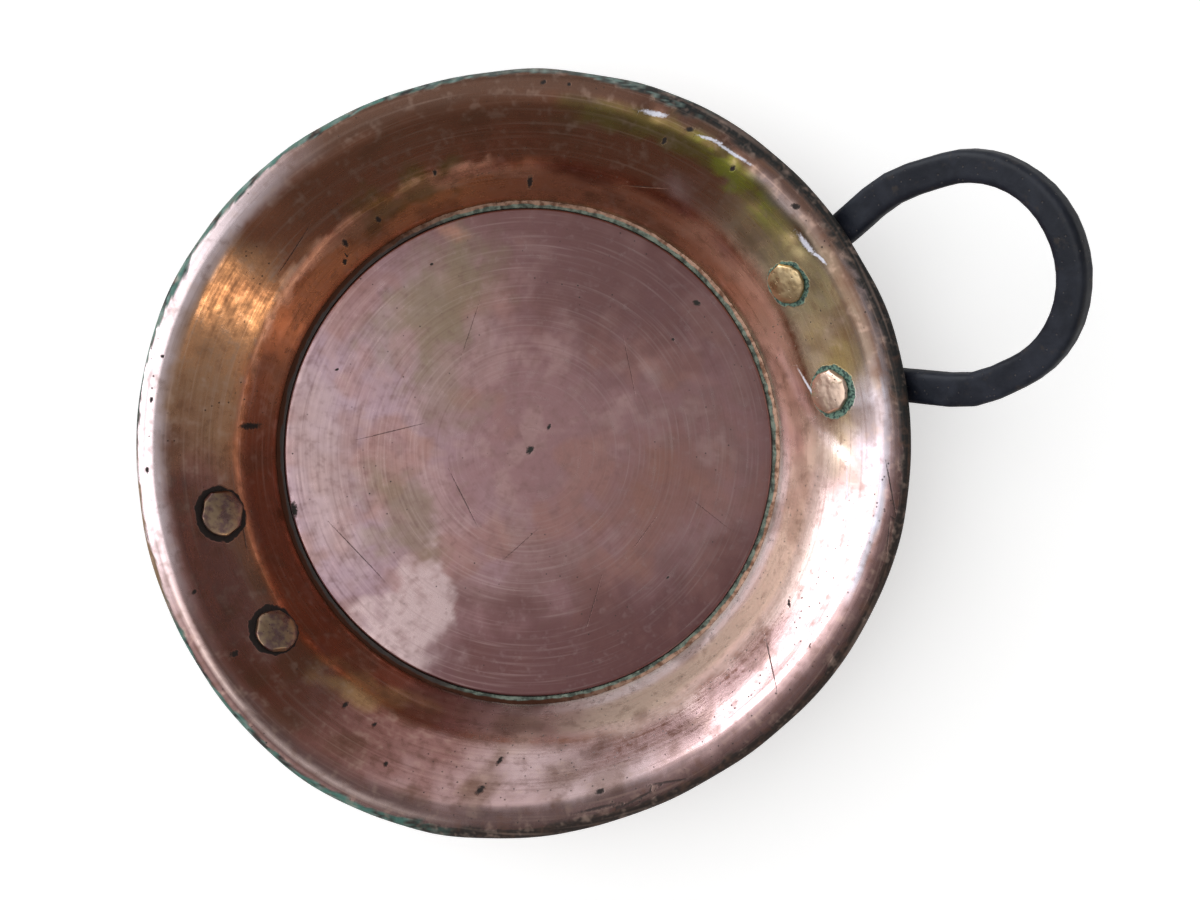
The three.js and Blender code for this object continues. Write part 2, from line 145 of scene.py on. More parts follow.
def on_roll(angle):
    return roll_centre + ROLL_MIDDLE * Vector((math.cos(angle), math.sin(angle)))


def rounded(corners, step=math.radians(6)):
    """The run of straight lines through corners of (point, bend), with each corner rounded."""
    points = [corners[0][0].copy()]
    for (before, _), (corner, bend), (after, _) in zip(corners, corners[1:], corners[2:]):
        back, ahead = (before - corner).normalized(), (after - corner).normalized()
        turn = math.pi - back.angle(ahead)
        reach = bend * math.tan(turn / 2)
        centre = corner + (back + ahead).normalized() * bend / math.cos(turn / 2)
        spoke = corner + back * reach - centre
        steps = max(2, math.ceil(turn / step))
        for k in range(steps + 1):
            angle = turn * k / steps
            points.append(centre + spoke * math.cos(angle) - back * bend * math.sin(angle))
    return points + [corners[-1][0].copy()]


def spaced(points, most):
    """The same line with more points on its long stretches, so that it can take dents."""
    fine = [points[0]]
    for a, b in zip(points, points[1:]):
        parts = max(1, math.ceil((b - a).length / most))
        fine += [a.lerp(b, k / parts) for k in range(1, parts + 1)]
    return fine


DENT_STEP = 2.2  # mm between points, close enough to take a dent
ROLL_STEPS = 28
to_roll = roll_centre - neck
lean = math.atan2(to_roll.y, to_roll.x) + math.asin(ROLL_MIDDLE / to_roll.length)
roll_from, roll_to = lean + math.pi / 2, math.radians(-90 - ROLL_ON)
wall_line = rounded([
    (Vector((foot_inside, SHEET / 2)), 0), (cove, COVE_BEND), (shoulder, SHOULDER_BEND),
    (neck, NECK_BEND), (on_roll(roll_from), 0),
])
wall_line = spaced(wall_line, DENT_STEP)
wall_line += [on_roll(roll_from + (roll_to - roll_from) * k / ROLL_STEPS)
              for k in range(1, ROLL_STEPS + 1)]
print("wall section:", len(wall_line), "points")

# %% [markdown]
# ## Turning a section into a pan
# A round vessel can be a stack of scaled circles, a bent strip or a spin. Spin is the natural
# one: the section is drawn once, as a chain of points, and swept round the axis in many steps.
# Doubles are merged afterwards, where the sweep closes on itself and at the poles.

# %% Draw and spin
ROUND_STEPS = 440


def drawn(name, line):
    """A chain of edges in the XZ plane: one point, extruded from place to place."""
    clear()
    bpy.ops.mesh.primitive_plane_add(size=MM)
    piece = bpy.context.object
    piece.name = piece.data.name = name
    edit(piece)
    bpy.ops.mesh.merge(type="CENTER")
    bpy.ops.transform.translate(value=(line[0].x * MM, 0, line[0].y * MM))
    for a, b in zip(line, line[1:]):
        bpy.ops.mesh.extrude_region_move(
            TRANSFORM_OT_translate={"value": ((b.x - a.x) * MM, 0, (b.y - a.y) * MM)})
    return done()


def spun(name, line, steps=ROUND_STEPS):
    piece = drawn(name, line)
    edit(piece)
    bpy.ops.mesh.spin(steps=steps, angle=2 * math.pi, center=(0, 0, 0), axis=(0, 0, 1))
    bpy.ops.mesh.select_all(action="SELECT")
    bpy.ops.mesh.remove_doubles(threshold=0.02 * MM)
    bpy.ops.mesh.normals_make_consistent(inside=False)
    done()
    print(name, "spun:", len(piece.data.vertices), "points")
    return piece


# %% [markdown]
# ## Out of round, and beaten by hand
# No beaten pan is a true circle. Three slow waves round the rim, measured off the picture, swell
# and flatten it by a few millimetres and die out at the foot. A fourth, of count 0, draws the
# whole rim in by a hair, so that this finer mesh stays within the frame's straight facets. On top
# of that the sheet wavers by some tenths from hammer blow to hammer blow, which is what makes the
# reflections wander.

# %% Out of round
# count, swell in mm, peak in degrees
ROUND_WAVES = [(0, -0.26, 0.0), (2, 2.2, 9.5), (3, 1.3, -8.0), (4, 0.95, 44.0)]
TRUE_HEIGHT = 8.0  # mm up to which the pan is round


def swell(x, y, z):
    azimuth = math.degrees(math.atan2(y, x))
    t = min(max((z / MM - TRUE_HEIGHT) / (PAN_HEIGHT - TRUE_HEIGHT), 0), 1)
    waves = sum(s * math.cos(math.radians(n * (azimuth - peak))) for n, s, peak in ROUND_WAVES)
    return t * t * (3 - 2 * t) * waves * MM


def out_of_round(point):
    radius = math.hypot(point.x, point.y)
    scale = 1 + swell(*point) / radius if radius > 0 else 1
    return Vector((point.x * scale, point.y * scale, point.z))


def warp(piece):
    for vertex in piece.data.vertices:
        vertex.co = out_of_round(vertex.co)
    piece.data.update()


def beaten(piece, depth, size, seed=0.0, share=lambda p: 1.0):
    """Moves each point along its normal by up to depth mm, in marks about size mm across."""
    shift = Vector((seed, -seed, 0.37 * seed))
    normals = [v.normal.copy() for v in piece.data.vertices]
    for vertex, normal in zip(piece.data.vertices, normals):
        mark = noise.noise(vertex.co / (size * MM) + shift)
        vertex.co += normal * (mark * depth * MM * share(vertex.co))
    piece.data.update()


def dented(piece, dents):
    """Pushes the sheet in at (x, y, z), spread and depth in mm; a negative depth pushes it out."""
    normals = [v.normal.copy() for v in piece.data.vertices]
    for x, y, z, spread, depth in dents:
        centre = Vector((x, y, z)) * MM
        for vertex, normal in zip(piece.data.vertices, normals):
            far = (vertex.co - centre).length / (spread * MM)
            if far < 3:
                vertex.co -= normal * (depth * MM * math.exp(-far * far))
    piece.data.update()


# %% [markdown]
# ## Wall
# The wall is spun as a single surface in the middle of its sheet. It is beaten and dented while
# it is still a single surface, because then both faces of the sheet follow the same blows when
# Solidify gives it its thickness.

# %% Wall
def ramp(value, low, high):
    t = min(max((value - low) / (high - low), 0), 1)
    return t * t * (3 - 2 * t)


def on_band_only(point):
    """Hammer marks grow from the foot, which has to lie flat, and stop short of the rim's top."""
    return ramp(point.z / MM, 4, 24) * ramp(point.z / MM, 53.2, 50)


def at_neck(point):
    """Where the flare turns out into the lip, the edge between them wavers most."""
    return ramp(point.z / MM, 40, 47) * ramp(point.z / MM, 53.0, 51)


def lifted(piece, low, high, rise):
    """Levels the lip between two angles in degrees, where it was dressed flatter."""
    for vertex in piece.data.vertices:
        x, y, z = vertex.co / MM
        azimuth = math.degrees(math.atan2(y, x)) % 360
        radius = math.hypot(x, y) - swell(*vertex.co) / MM
        along = ramp(azimuth, low - 12, low + 12) * ramp(azimuth, high + 12, high - 12)
        across = ramp(radius, 149, 158.5) * ramp(radius, 165, 161)
        if z > 40:
            vertex.co.z += rise * MM * along * across
    piece.data.update()


# x, y, z, spread and depth; the last five are small knocks on the lip
DENTS = [(129, -38, 24, 11, 1.1), (131, -58, 33, 9, -0.5), (126, -6, 17, 9, -0.4),
         (-46, 118, 16, 9, 0.5), (5, 131, 24, 8, 0.5), (-128, -30, 21, 10, 0.5),
         (-118, -72, 30, 12, 0.6), (-120, 48, 26, 9, 0.5), (138, 66, 47, 7, 0.5),
         (108, 116, 51, 4, 0.8), (134, 86, 51, 4, 0.9), (138, 79, 51, 4, 0.7),
         (147, 44, 48, 3.5, 0.8), (148, 37, 47, 3.5, 0.7)]

wall = spun("wall_beaten", wall_line)
warp(wall)
lifted(wall, 122, 196, 1.0)
beaten(wall, 0.75, 52, seed=1.7, share=on_band_only)
beaten(wall, 0.26, 21, seed=5.1, share=on_band_only)
beaten(wall, 0.55, 26, seed=8.3, share=at_neck)
dented(wall, DENTS)
apply(wall, "SOLIDIFY", thickness=SHEET * MM, offset=0.0, use_even_offset=True)
for vertex in wall.data.vertices:
    vertex.co.z = max(vertex.co.z, 0.0)  # the foot stands flat
print("wall:", len(wall.data.polygons), "faces")

# %% [markdown]
# ## Bottom disc
# A separate round sheet lies on the foot of the wall. Its upper edge is rounded over by the
# hammer, its lower edge is thinned where it laps over the foot. Spun from its section like the
# wall, but closed on the axis.

# %% Bottom disc
LAP_UNDER, DISC_UNDER, DISC_TOP, EDGE_ROUND = 1.8, 1.2, 3.8, 1.4
UNDER_STEP = 6.0  # mm between points where nothing is beaten
edge_centre = Vector((DISC_RADIUS - EDGE_ROUND, DISC_TOP - EDGE_ROUND))
edge_line = [edge_centre + EDGE_ROUND * Vector((math.sin(a), math.cos(a)))
             for a in (math.radians(90 * k / 8) for k in range(9))]
under_line = [Vector((DISC_RADIUS, LAP_UNDER)), Vector((foot_inside - WIRE_GAP, LAP_UNDER)),
              Vector((foot_inside - WIRE_GAP, DISC_UNDER)), Vector((0, DISC_UNDER))]
disc_line = spaced([Vector((0, DISC_TOP)), edge_line[0]], DENT_STEP) + edge_line[1:]
disc_line += spaced(under_line, UNDER_STEP)
disc = spun("floor_disc", disc_line)


def top_side(point):
    """The upper face alone: 2.6 mm is just above where the edge begins to round."""
    return 1.0 if point.z > 2.6 * MM else 0.0


beaten(disc, 0.22, 70, seed=3.1, share=top_side)
beaten(disc, 0.05, 17, seed=9.4, share=top_side)

# %% [markdown]
# ## Solder seam
# Solder was run into the groove between the disc and the wall, and verdigris has grown on it. A
# torus would do for an even bead; this one follows the hollow of the wall on its outer side, so
# it is spun from its own section and then swollen and starved along its length by noise.

# %% Solder seam
hollow = Vector((cove.x - cove_reach, SHEET / 2 + COVE_BEND))
hollow_radius = COVE_BEND - SHEET / 2 - WIRE_GAP / 2
hollow_line = [hollow + hollow_radius * Vector((math.sin(a), -math.cos(a)))
               for a in (math.radians(v) for v in (0, 14, 28, 42, 54, 62))]
# Then across the solder's sagging top to the disc's edge, and down along it
seam_line = hollow_line + [Vector((118.6, 3.1)), Vector((117.4, 2.75)), Vector((116.5, 2.9)),
                           Vector((116.4, 2.2))]
seam = spun("verdigris_seam", seam_line + seam_line[:1], steps=720)


def on_top(point):
    """Only the solder's open face is rough."""
    return ramp(point.z / MM, 2.2, 2.9)


beaten(seam, 0.28, 7.0, seed=2.2, share=on_top)
beaten(seam, 0.22, 1.8, seed=4.4, share=on_top)

# %% [markdown]
# ## Rivets
# Each rivet is a short copper rod: a flat head inside the pan, a shank through wall and iron, and
# the far end hammered over. A cylinder with beveled ends would be too regular, so the outline is
# spun, and each head then loses a few slivers to the hammer, at angles drawn by lot, until no two
# are alike.

# %% One rivet, standing on its own z axis with the sheet's middle at z = 0
HEAD_HEIGHT, SHANK_RADIUS = 2.5, 4.2
UPSET_RADIUS, UPSET_HEIGHT, IRON = 7.0, 2.8, 5.5
UPSET_UNDER = SHEET / 2 + 2 * WIRE_GAP + IRON
HEAD_GAP = 0.15  # mm between the wall and the rim of a head
RIVETS_OUT = 8.5  # about how far out of the shoulder the rivets sit, in mm
BLOWS = 10


def head_line(radius, under):
    """Radius and height of the rivet's outline, from the crown of the head to the far crown.
    The powers under 1 fill the corner of the head out, so that it is flat with a quick edge."""
    quarter = [math.radians(90 * k / 9) for k in range(10)]
    head = [Vector((radius * math.sin(a) ** 0.7,
                    under - HEAD_HEIGHT * (0.45 + 0.55 * math.cos(a) ** 0.8))) for a in quarter]
    upset = [Vector((UPSET_RADIUS * math.sin(a),
                     UPSET_UNDER + UPSET_HEIGHT * (0.25 + 0.75 * math.cos(a)))) for a in quarter]
    shank = [Vector((radius, under)), Vector((SHANK_RADIUS, under)),
             Vector((SHANK_RADIUS, UPSET_UNDER)), Vector((UPSET_RADIUS, UPSET_UNDER))]
    return head + shank + upset[::-1]


def blows(dice):
    """Where the hammer fell round a head: direction and tilt in degrees, and how far out."""
    return [(360 / BLOWS * k + dice.uniform(-13, 13), dice.uniform(60, 84),
             dice.uniform(0.93, 1.04)) for k in range(BLOWS)]


def rivet(name, place, radius, seed):
    """A head of this radius, cut by its blows and set into its place on the band."""
    hollowness = flare.y / (shoulder.x + RIVETS_OUT) * radius ** 2 / 2
    under = -(SHEET / 2 + HEAD_GAP + hollowness)
    piece = spun(name, head_line(radius, under), steps=48)
    for direction, tilt, out in blows(random.Random(seed)):
        a, t = math.radians(direction), math.radians(tilt)
        normal = Vector((math.cos(a) * math.sin(t), math.sin(a) * math.sin(t), -math.cos(t)))
        crown = Vector((0, 0, under - HEAD_HEIGHT))
        edge = Vector((math.cos(a) * radius, math.sin(a) * radius, under))
        edit(piece)
        bpy.ops.mesh.bisect(plane_co=crown.lerp(edge, out) * MM, plane_no=normal, use_fill=True,
                            clear_outer=True)
        done()
    apply(piece, "REMESH", mode="VOXEL", voxel_size=0.34 * MM)
    apply(piece, "SMOOTH", factor=0.5, iterations=2)
    beaten(piece, 0.20, 6.0, seed=seed)
    beaten(piece, 0.06, 2.0, seed=seed + 3)
    take(piece)
    piece.matrix_world = place
    bpy.ops.object.transform_apply(location=True, rotation=True, scale=True)
    return piece


def band_point(angle, rise):
    """A place in the middle of the sheet, with the directions up the band and out of it."""
    a = math.radians(angle)
    middle = shoulder + flare * rise
    radial, vertical = Vector((math.cos(a), math.sin(a), 0)), Vector((0, 0, 1))
    up = radial * flare.x + vertical * flare.y
    out = radial * flare.y - vertical * flare.x
    return out_of_round((radial * middle.x + vertical * middle.y) * MM), up, out


def on_band(angle, rise):
    point, up, out = band_point(angle, rise)
    turn = Matrix((up.cross(out), up, out)).transposed().to_4x4()
    return Matrix.Translation(point) @ turn


RIVETS = {  # angle round the pan, rise up the band, radius of the head, throw of the dice
    "handle_rivet_upper": (10.75, 12.5, 9.3, 3),
    "handle_rivet_lower": (-10.75, 12.5, 10.0, 8),
    "stub_rivet_upper": (170.0, 12.0, 10.6, 5),
    "stub_rivet_lower": (194.4, 10.0, 10.1, 12),
}
rivets = {node: rivet(node.replace("rivet", "rivet_beaten"), on_band(angle, rise), radius, dice)
          for node, (angle, rise, radius, dice) in RIVETS.items()}
print("rivets:", [len(r.data.polygons) for r in rivets.values()])

# %% [markdown]
# ## Forged iron
# The loop and the two broken stubs were drawn out hot under the hammer, so their edges are soft
# and no face is quite flat. A copy of the frame's bar is merged, wrapped in an even skin of small
# faces by a voxel remesh, smoothed until the edges are worn, and then beaten.

# %% Forge
def forged(node, name, seed, voxel=0.8):
    clear()
    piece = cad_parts[node].copy()
    piece.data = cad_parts[node].data.copy()
    piece.name = piece.data.name = name
    piece.parent = None
    bpy.context.scene.collection.objects.link(piece)
    edit(piece)
    bpy.ops.mesh.remove_doubles(threshold=0.01 * MM)
    done()
    apply(piece, "REMESH", mode="VOXEL", voxel_size=voxel * MM)
    apply(piece, "SMOOTH", factor=0.5, iterations=3)
    beaten(piece, 0.20, 24, seed=seed)
    beaten(piece, 0.07, 7, seed=seed + 2)
    print(name, len(piece.data.polygons), "faces")
    return piece


loop = forged("loop_handle", "loop_forged", 6.5)
stubs = {node: forged(node, node.replace("handle", "forged"), 3.0 + i)
         for i, node in enumerate(("handle_stub_upper", "handle_stub_lower"))}

# %% [markdown]
# ## Painting the tarnish, and some painted highlights and shade
# Tarnish follows the pan: it sits in arcs of the rim, under the lip, in the steep band, round the
# rivets. One way is to build all of that from nodes, but then every ray works it all out again.
# Here the broad colours are laid on the points of the mesh instead, once, stroke over stroke as
# with a brush, and each finish reads them back and adds everything finer than the mesh itself.
# Angles are those of the picture, from its right, like those of the lamps below. Some strokes are
# painted highlights, painted reflections and painted shade, laid like the tarnish.

# %% A brush for the points of a mesh
ASKEW = Euler((0.6, 0.5, 0.4))


def soft(value, low, high):
    t = np.clip((value - low) / (high - low), 0, 1)
    return t * t * (3 - 2 * t)


class Brush:
    def __init__(self, piece):
        self.piece = piece
        places, normals = np.empty((2, len(piece.data.vertices) * 3))
        piece.data.vertices.foreach_get("co", places)
        piece.data.vertices.foreach_get("normal", normals)
        self.x, self.y, self.height = places.reshape(-1, 3).T / MM
        self.up = normals.reshape(-1, 3)[:, 2]
        self.around = np.degrees(np.arctan2(self.y, self.x))
        self.far = np.hypot(self.x, self.y)
        waves = sum(s * np.cos(np.radians(n * (self.around - peak))) for n, s, peak in ROUND_WAVES)
        self.out = self.far - waves * soft(self.height, TRUE_HEIGHT, PAN_HEIGHT)
        self.colour = np.zeros((len(self.x), 3))

    def cloud(self, size, seed=0.0, octaves=3):
        """Noise from about -1 to 1 with spots about size mm across. It is turned out of the
        axes, because a flat piece would show the noise's own square grid otherwise."""
        shift = Vector((seed, -0.6 * seed, 0.4 * seed))
        turn = ASKEW.to_matrix() * (1 / (size * MM))
        return np.array([noise.fractal(turn @ v.co + shift, 0.7, 2.0, octaves)
                         for v in self.piece.data.vertices])

    def arc(self, middle, half, blur, wander=0.0):
        """1 within half degrees of a side of the picture, 0 beyond the blur."""
        away = np.abs((self.around + TURN - middle + 180) % 360 - 180) + wander
        return soft(away, half + blur, half - blur)

    def local(self, x, y, turn, longer=1.0):
        a = math.radians(turn)
        return np.array([((self.x - x) * math.cos(a) + (self.y - y) * math.sin(a)) / longer,
                         (self.y - y) * math.cos(a) - (self.x - x) * math.sin(a)])

    def near(self, x, y, size, blur=0.5, turn=0.0, longer=1.0, wander=0.0):
        """1 round a place in mm, perhaps stretched along a direction, 0 away from it."""
        along, across = self.local(x, y, turn, longer)
        return soft(np.hypot(along, across) + wander, size * (1 + blur), size * (1 - blur))

    def beyond(self, x, y, turn, blur, wander=0.0):
        """0 before the place (x, y) in a direction in degrees, 1 beyond it."""
        return soft(self.local(x, y, turn)[0] + wander, -blur, blur)

    def lay(self, colour, *shares):
        share = np.ones(len(self.x))
        for part in shares:
            share = share * part
        self.colour += (np.array(colour) - self.colour) * share[:, None]

    def keep(self, name, values):
        """Stores three numbers a point under a name that a finish can read."""
        layer = self.piece.data.attributes.new(name, "FLOAT_VECTOR", "POINT")
        layer.data.foreach_set("vector", np.ascontiguousarray(values, dtype=np.float32).ravel())

    def keep_marks(self, name, marks, where=True):
        """Each point learns its place in the nearest mark's own terms, so that a mark far
        smaller than a face comes out sharp. Marks are (x, y, half length, half width,
        direction in degrees), and their outline in those terms is the unit circle. The third
        number stored is 0 for a dark mark and -1 for a light one, which has a sixth entry."""
        values, best = np.full((len(self.x), 3), 9.0), np.full(len(self.x), 4.0)
        for x, y, half_length, half_width, turn, *light in marks:
            along, across = self.local(x, y, turn)
            away = np.hypot(np.maximum(np.abs(along) - half_length, 0), across)
            closer = (away < best) & where
            best[closer] = away[closer]
            values[closer] = np.array([along, across, 0 * along - len(light)]).T[closer] / [
                half_length, half_width, 1]
        self.keep(name, values)


# %% Colours of the wall
PINK, BROWN, GOLD = (0.74, 0.505, 0.505), (0.30, 0.125, 0.075), (0.55, 0.41, 0.29)
TAN, PLUM, DEEP = (0.42, 0.235, 0.14), (0.35, 0.155, 0.13), (0.35, 0.10, 0.045)
ORANGE, DUSTY_SHEEN, OLIVE = (0.88, 0.38, 0.18), (0.88, 0.68, 0.60), (0.27, 0.21, 0.065)
LIME, OCHRE = (0.40, 0.41, 0.06), (0.40, 0.28, 0.10)


# %% Tarnish, painted highlights and painted shade on the band
def paint_band(b):
    """The flare and the steep band, from the seam up to the lip. Returns the dusty places and the
    painted sheen, which take the shine off the copper."""
    wide, mid = b.cloud(42, 1.3), b.cloud(15, 4.1)
    drift = 9 * wide + 4 * mid
    b.lay(PINK, 1.0)
    b.lay(GOLD, b.arc(27, 26, 8, drift))
    b.lay((0.58, 0.42, 0.20), b.arc(28, 22, 8, drift), soft(b.out + drift, 134, 146), 0.85)
    b.lay((0.36, 0.26, 0.19), b.arc(19, 9, 7, drift), soft(b.out, 138, 146), 0.8)
    b.lay(BROWN, b.arc(138, 88, 12, drift))
    b.lay(PLUM, b.arc(200, 28, 14, drift))
    b.lay(TAN, b.arc(162, 18, 10, drift))
    b.lay((0.26, 0.08, 0.045), b.arc(232, 13, 8, drift), 0.85)
    b.lay((0.36, 0.165, 0.145), b.arc(248, 14, 10, drift), 0.9)
    b.lay((0.93, 0.71, 0.73), b.arc(-80, 12, 10, drift), soft(b.out, 132, 140), 0.75)
    steep = soft(b.height + 5 * wide + 2 * mid, 30, 20)
    # The steep band at the upper left: orange copper, partly a painted reflection of the copper
    # across the pan.
    b.lay(ORANGE, steep, b.arc(128, 40, 18, drift), 0.85)
    b.lay((0.60, 0.27, 0.155), steep, b.arc(62, 30, 12, drift), 0.85)
    b.lay((0.95, 0.62, 0.46), soft(np.abs(b.out - 131), 7, 3), b.arc(42, 9, 8, drift), 0.75)
    b.lay((0.80, 0.55, 0.44), steep, b.arc(14, 12, 10, drift), 0.8)
    b.lay(DEEP, steep, b.arc(205, 42, 16, drift), 0.85)
    # Dusty copper at the lower right, which is also a painted highlight: the steep band and the
    # flare made pale and less metallic there.
    dust_and_sheen = soft(b.height + 4 * wide, 36, 26) * b.arc(-40, 44, 22, drift)
    b.lay(DUSTY_SHEEN, dust_and_sheen, 0.9)
    b.lay((0.78, 0.63, 0.49), dust_and_sheen, soft(np.abs(b.height - 18 + 3 * wide), 9, 5), 0.8)
    # Painted highlight: a pale line on the steep band beside the seam at the lower right.
    b.lay((1.0, 0.87, 0.86), dust_and_sheen, soft(np.abs(b.out - 121.8 + 0.5 * mid), 2.6, 0.8), 0.95)
    # Painted shade: a dark line at the foot of the wall, along the seam on the left half.
    b.lay(DEEP, soft(b.out, 122.5, 118.5), b.arc(170, 78, 18), 0.9)
    warm_line = soft(np.abs(b.height - 29 + 3 * wide), 8, 2)
    b.lay((0.56, 0.29, 0.16), warm_line, b.arc(188, 22, 9), 0.45)
    # Painted highlight: a bright wavy line along the crest of the shoulder at the upper left.
    crest = b.height - 24 - 4 * wide - 3 * b.cloud(9, 6.8)
    width = 3.0 + 3.0 * b.cloud(18, 9.1)
    b.lay((1.0, 0.60, 0.42), soft(np.abs(crest) - width, 1.2, -1.2), b.arc(128, 38, 10), 0.65)
    return np.maximum(dust_and_sheen, 0.4 * steep)


# %% Stains and painted highlights on the wall
# Place, size, blur, direction and stretch of a patch, how far its outline wanders, colour, share
STAINS_AND_HIGHLIGHTS = [((142, 50, 5, 0.6, 112, 2.4), 0.5, (0.44, 0.38, 0.12), 0.6),
          ((148, 24, 12, 0.5, 100, 1.7), 1.0, (0.42, 0.34, 0.19), 0.7),
          ((148, -15, 6, 0.5, 80, 1.9), 0.5, OCHRE, 0.75),
          ((-4, 131, 6, 0.6, 8, 3.2), 1.0, (0.19, 0.165, 0.05), 0.65),
          ((-108, -76, 5, 0.6, -42, 4.2), 0.7, (0.60, 0.35, 0.17), 0.85),
          ((150, 58, 5, 0.5, 112, 4.2), 0.5, (0.46, 0.38, 0.43), 0.75),
          # The last two are painted highlights: pale strokes on the flare at the right.
          ((127.5, -24, 1.6, 0.7, 92, 9), 0.2, (0.97, 0.78, 0.74), 0.7),
          ((131.5, -50, 1.6, 0.7, 106, 6), 0.2, (0.97, 0.78, 0.74), 0.7)]
GREASE = [(-72, -132, 5, 10), (-36, -141, 6, 4), (-61, -124, 3, 20), (-20, -150, 5, 0)]
# Sides of the picture in degrees, and how many mm out the pale streak on the lip runs there: a
# painted highlight
STREAK_SIDES, STREAK_OUT = (-3, 4, 11, 29), (157.5, 158.5, 161.0, 162.6)


def paint_stains_and_highlights(b):
    """Olive film under the lip, ochre by the handle, grease in clouds, and painted highlights:
    pale strokes on the flare and by the lip. Returns the pale streak along the lip, a painted
    highlight that shows from every side."""
    wander = 7 * b.cloud(16, 7.7)
    film = b.arc(62, 20, 6, wander) * soft(b.out + wander / 2, 147.5, 151)
    b.lay(OLIVE, film * soft(b.out, 161, 157.5), 0.85)
    lime = b.near(132, 79, 4.6, 0.5, 112, 6.4, wander / 2)
    b.lay(LIME, lime, soft(b.cloud(9, 2.9), -0.4, 0.0), 0.85)
    for patch, waver, colour, share in STAINS_AND_HIGHLIGHTS:
        b.lay(colour, b.near(*patch, waver * wander), share)
    b.lay((0.22, 0.16, 0.13), soft(np.abs(b.out - 157), 5.0, 3.0), b.arc(24, 18, 8), 0.8)
    # Painted highlight: a pale streak along the lip at the right.
    side = (b.around + TURN + 180) % 360 - 180
    ridge = np.interp(side, STREAK_SIDES, STREAK_OUT)
    streak = soft(np.abs(b.out - ridge + wander / 6), 2.0, 0.8) * b.arc(4, 27, 5)
    b.lay((0.84, 0.86, 1.0), streak, 0.95)
    # Painted highlight: a pale violet patch on the flare at the right, by the lip.
    b.lay((0.86, 0.76, 0.86), b.near(149, -48, 9, 0.5, 75, 2.6, wander / 2), 0.7)
    for x, y, size, turn in GREASE:
        b.lay((0.30, 0.18, 0.13), b.near(x, y, size, 0.6, turn, 2.2, wander / 2), 0.55)
    b.lay((0.20, 0.10, 0.06), soft(b.cloud(26, 5.5), 0.12, 0.5), 0.45)
    return streak


# %% Lip and outside
# Colour, the arc it lies in, share
LIP_COLOURS = [((0.20, 0.115, 0.085), (102, 34, 16), 0.85),
               ((0.17, 0.095, 0.09), (-46, 54, 16), 0.9),
               ((0.125, 0.07, 0.055), (38, 34, 12), 0.9),
               ((0.19, 0.12, 0.115), (246, 44, 14), 0.9)]


def paint_lip(b):
    """The level lip, with painted highlights and painted shade on it, and the crust on the outer
    side of the roll. Returns the crust.
    """
    wander = 1.4 * b.cloud(14, 8.8) + 0.7 * b.cloud(4, 3.3)
    lip = soft(b.out + wander, 154, 161.5) * soft(b.height, 44, 49)
    for colour, side, share in LIP_COLOURS:
        b.lay(colour, lip, b.arc(*side), share)
    # Painted highlight: a pale line along the ridge of the lip at the lower left.
    ridge_highlight = soft(np.abs(b.out - 162.5 + wander / 3), 1.6, 0.3)
    b.lay((0.80, 0.61, 0.57), ridge_highlight, lip, b.arc(224, 30, 12), 0.8)
    # Painted reflection: the lip at the left laid almost white.
    b.lay((0.98, 0.82, 0.86), lip, b.arc(166, 34, 12), 0.95)
    reach = b.out + wander + 4.6 * b.arc(40, 36, 14) + 2.6 * b.arc(-50, 60, 14)
    # Painted shade: darker towards the roll's outer edge at the lower right.
    b.lay((0.055, 0.030, 0.027), lip, soft(reach, 163, 170), b.arc(-48, 60, 16), 0.8)
    reach += 1.6 * b.arc(128, 36, 14) + 1.0 * b.arc(230, 30, 8)
    crust = soft(reach, 167.6, 168.6) * soft(b.height, 42, 46)
    green = np.maximum(b.arc(135, 36, 8), b.arc(230, 26, 8))
    b.lay((0.012, 0.013, 0.013), crust)
    b.lay((0.024, 0.014, 0.011), crust, b.arc(-62, 56, 16))
    b.lay((0.075, 0.20, 0.165), crust, green, soft(b.cloud(6, 9.9), -0.35, 0.05))
    b.lay((0.10, 0.13, 0.12), crust, b.arc(88, 14, 8), 0.7)
    b.lay((0.26, 0.15, 0.07), crust, b.arc(192, 12, 5), 0.8)
    flaky = np.maximum(green, b.arc(88, 24, 8))
    b.lay((0.22, 0.31, 0.28), crust, flaky, soft(b.cloud(2.8, 6.1), 0.15, 0.4), 0.8)
    return crust


def paint_outside(b):
    """Never rubbed: brown and dull, and sooty towards the foot."""
    outside = soft(b.up, 0.0, -0.2) * soft(b.height, 50, 45)
    b.lay((0.20, 0.105, 0.065), outside)
    b.lay((0.33, 0.18, 0.11), outside, soft(b.cloud(24, 2.2), -0.1, 0.4), 0.8)
    b.lay((0.030, 0.026, 0.024), outside, soft(b.height + 14 * b.cloud(40, 4.4), 30, 4), 0.8)
    return outside


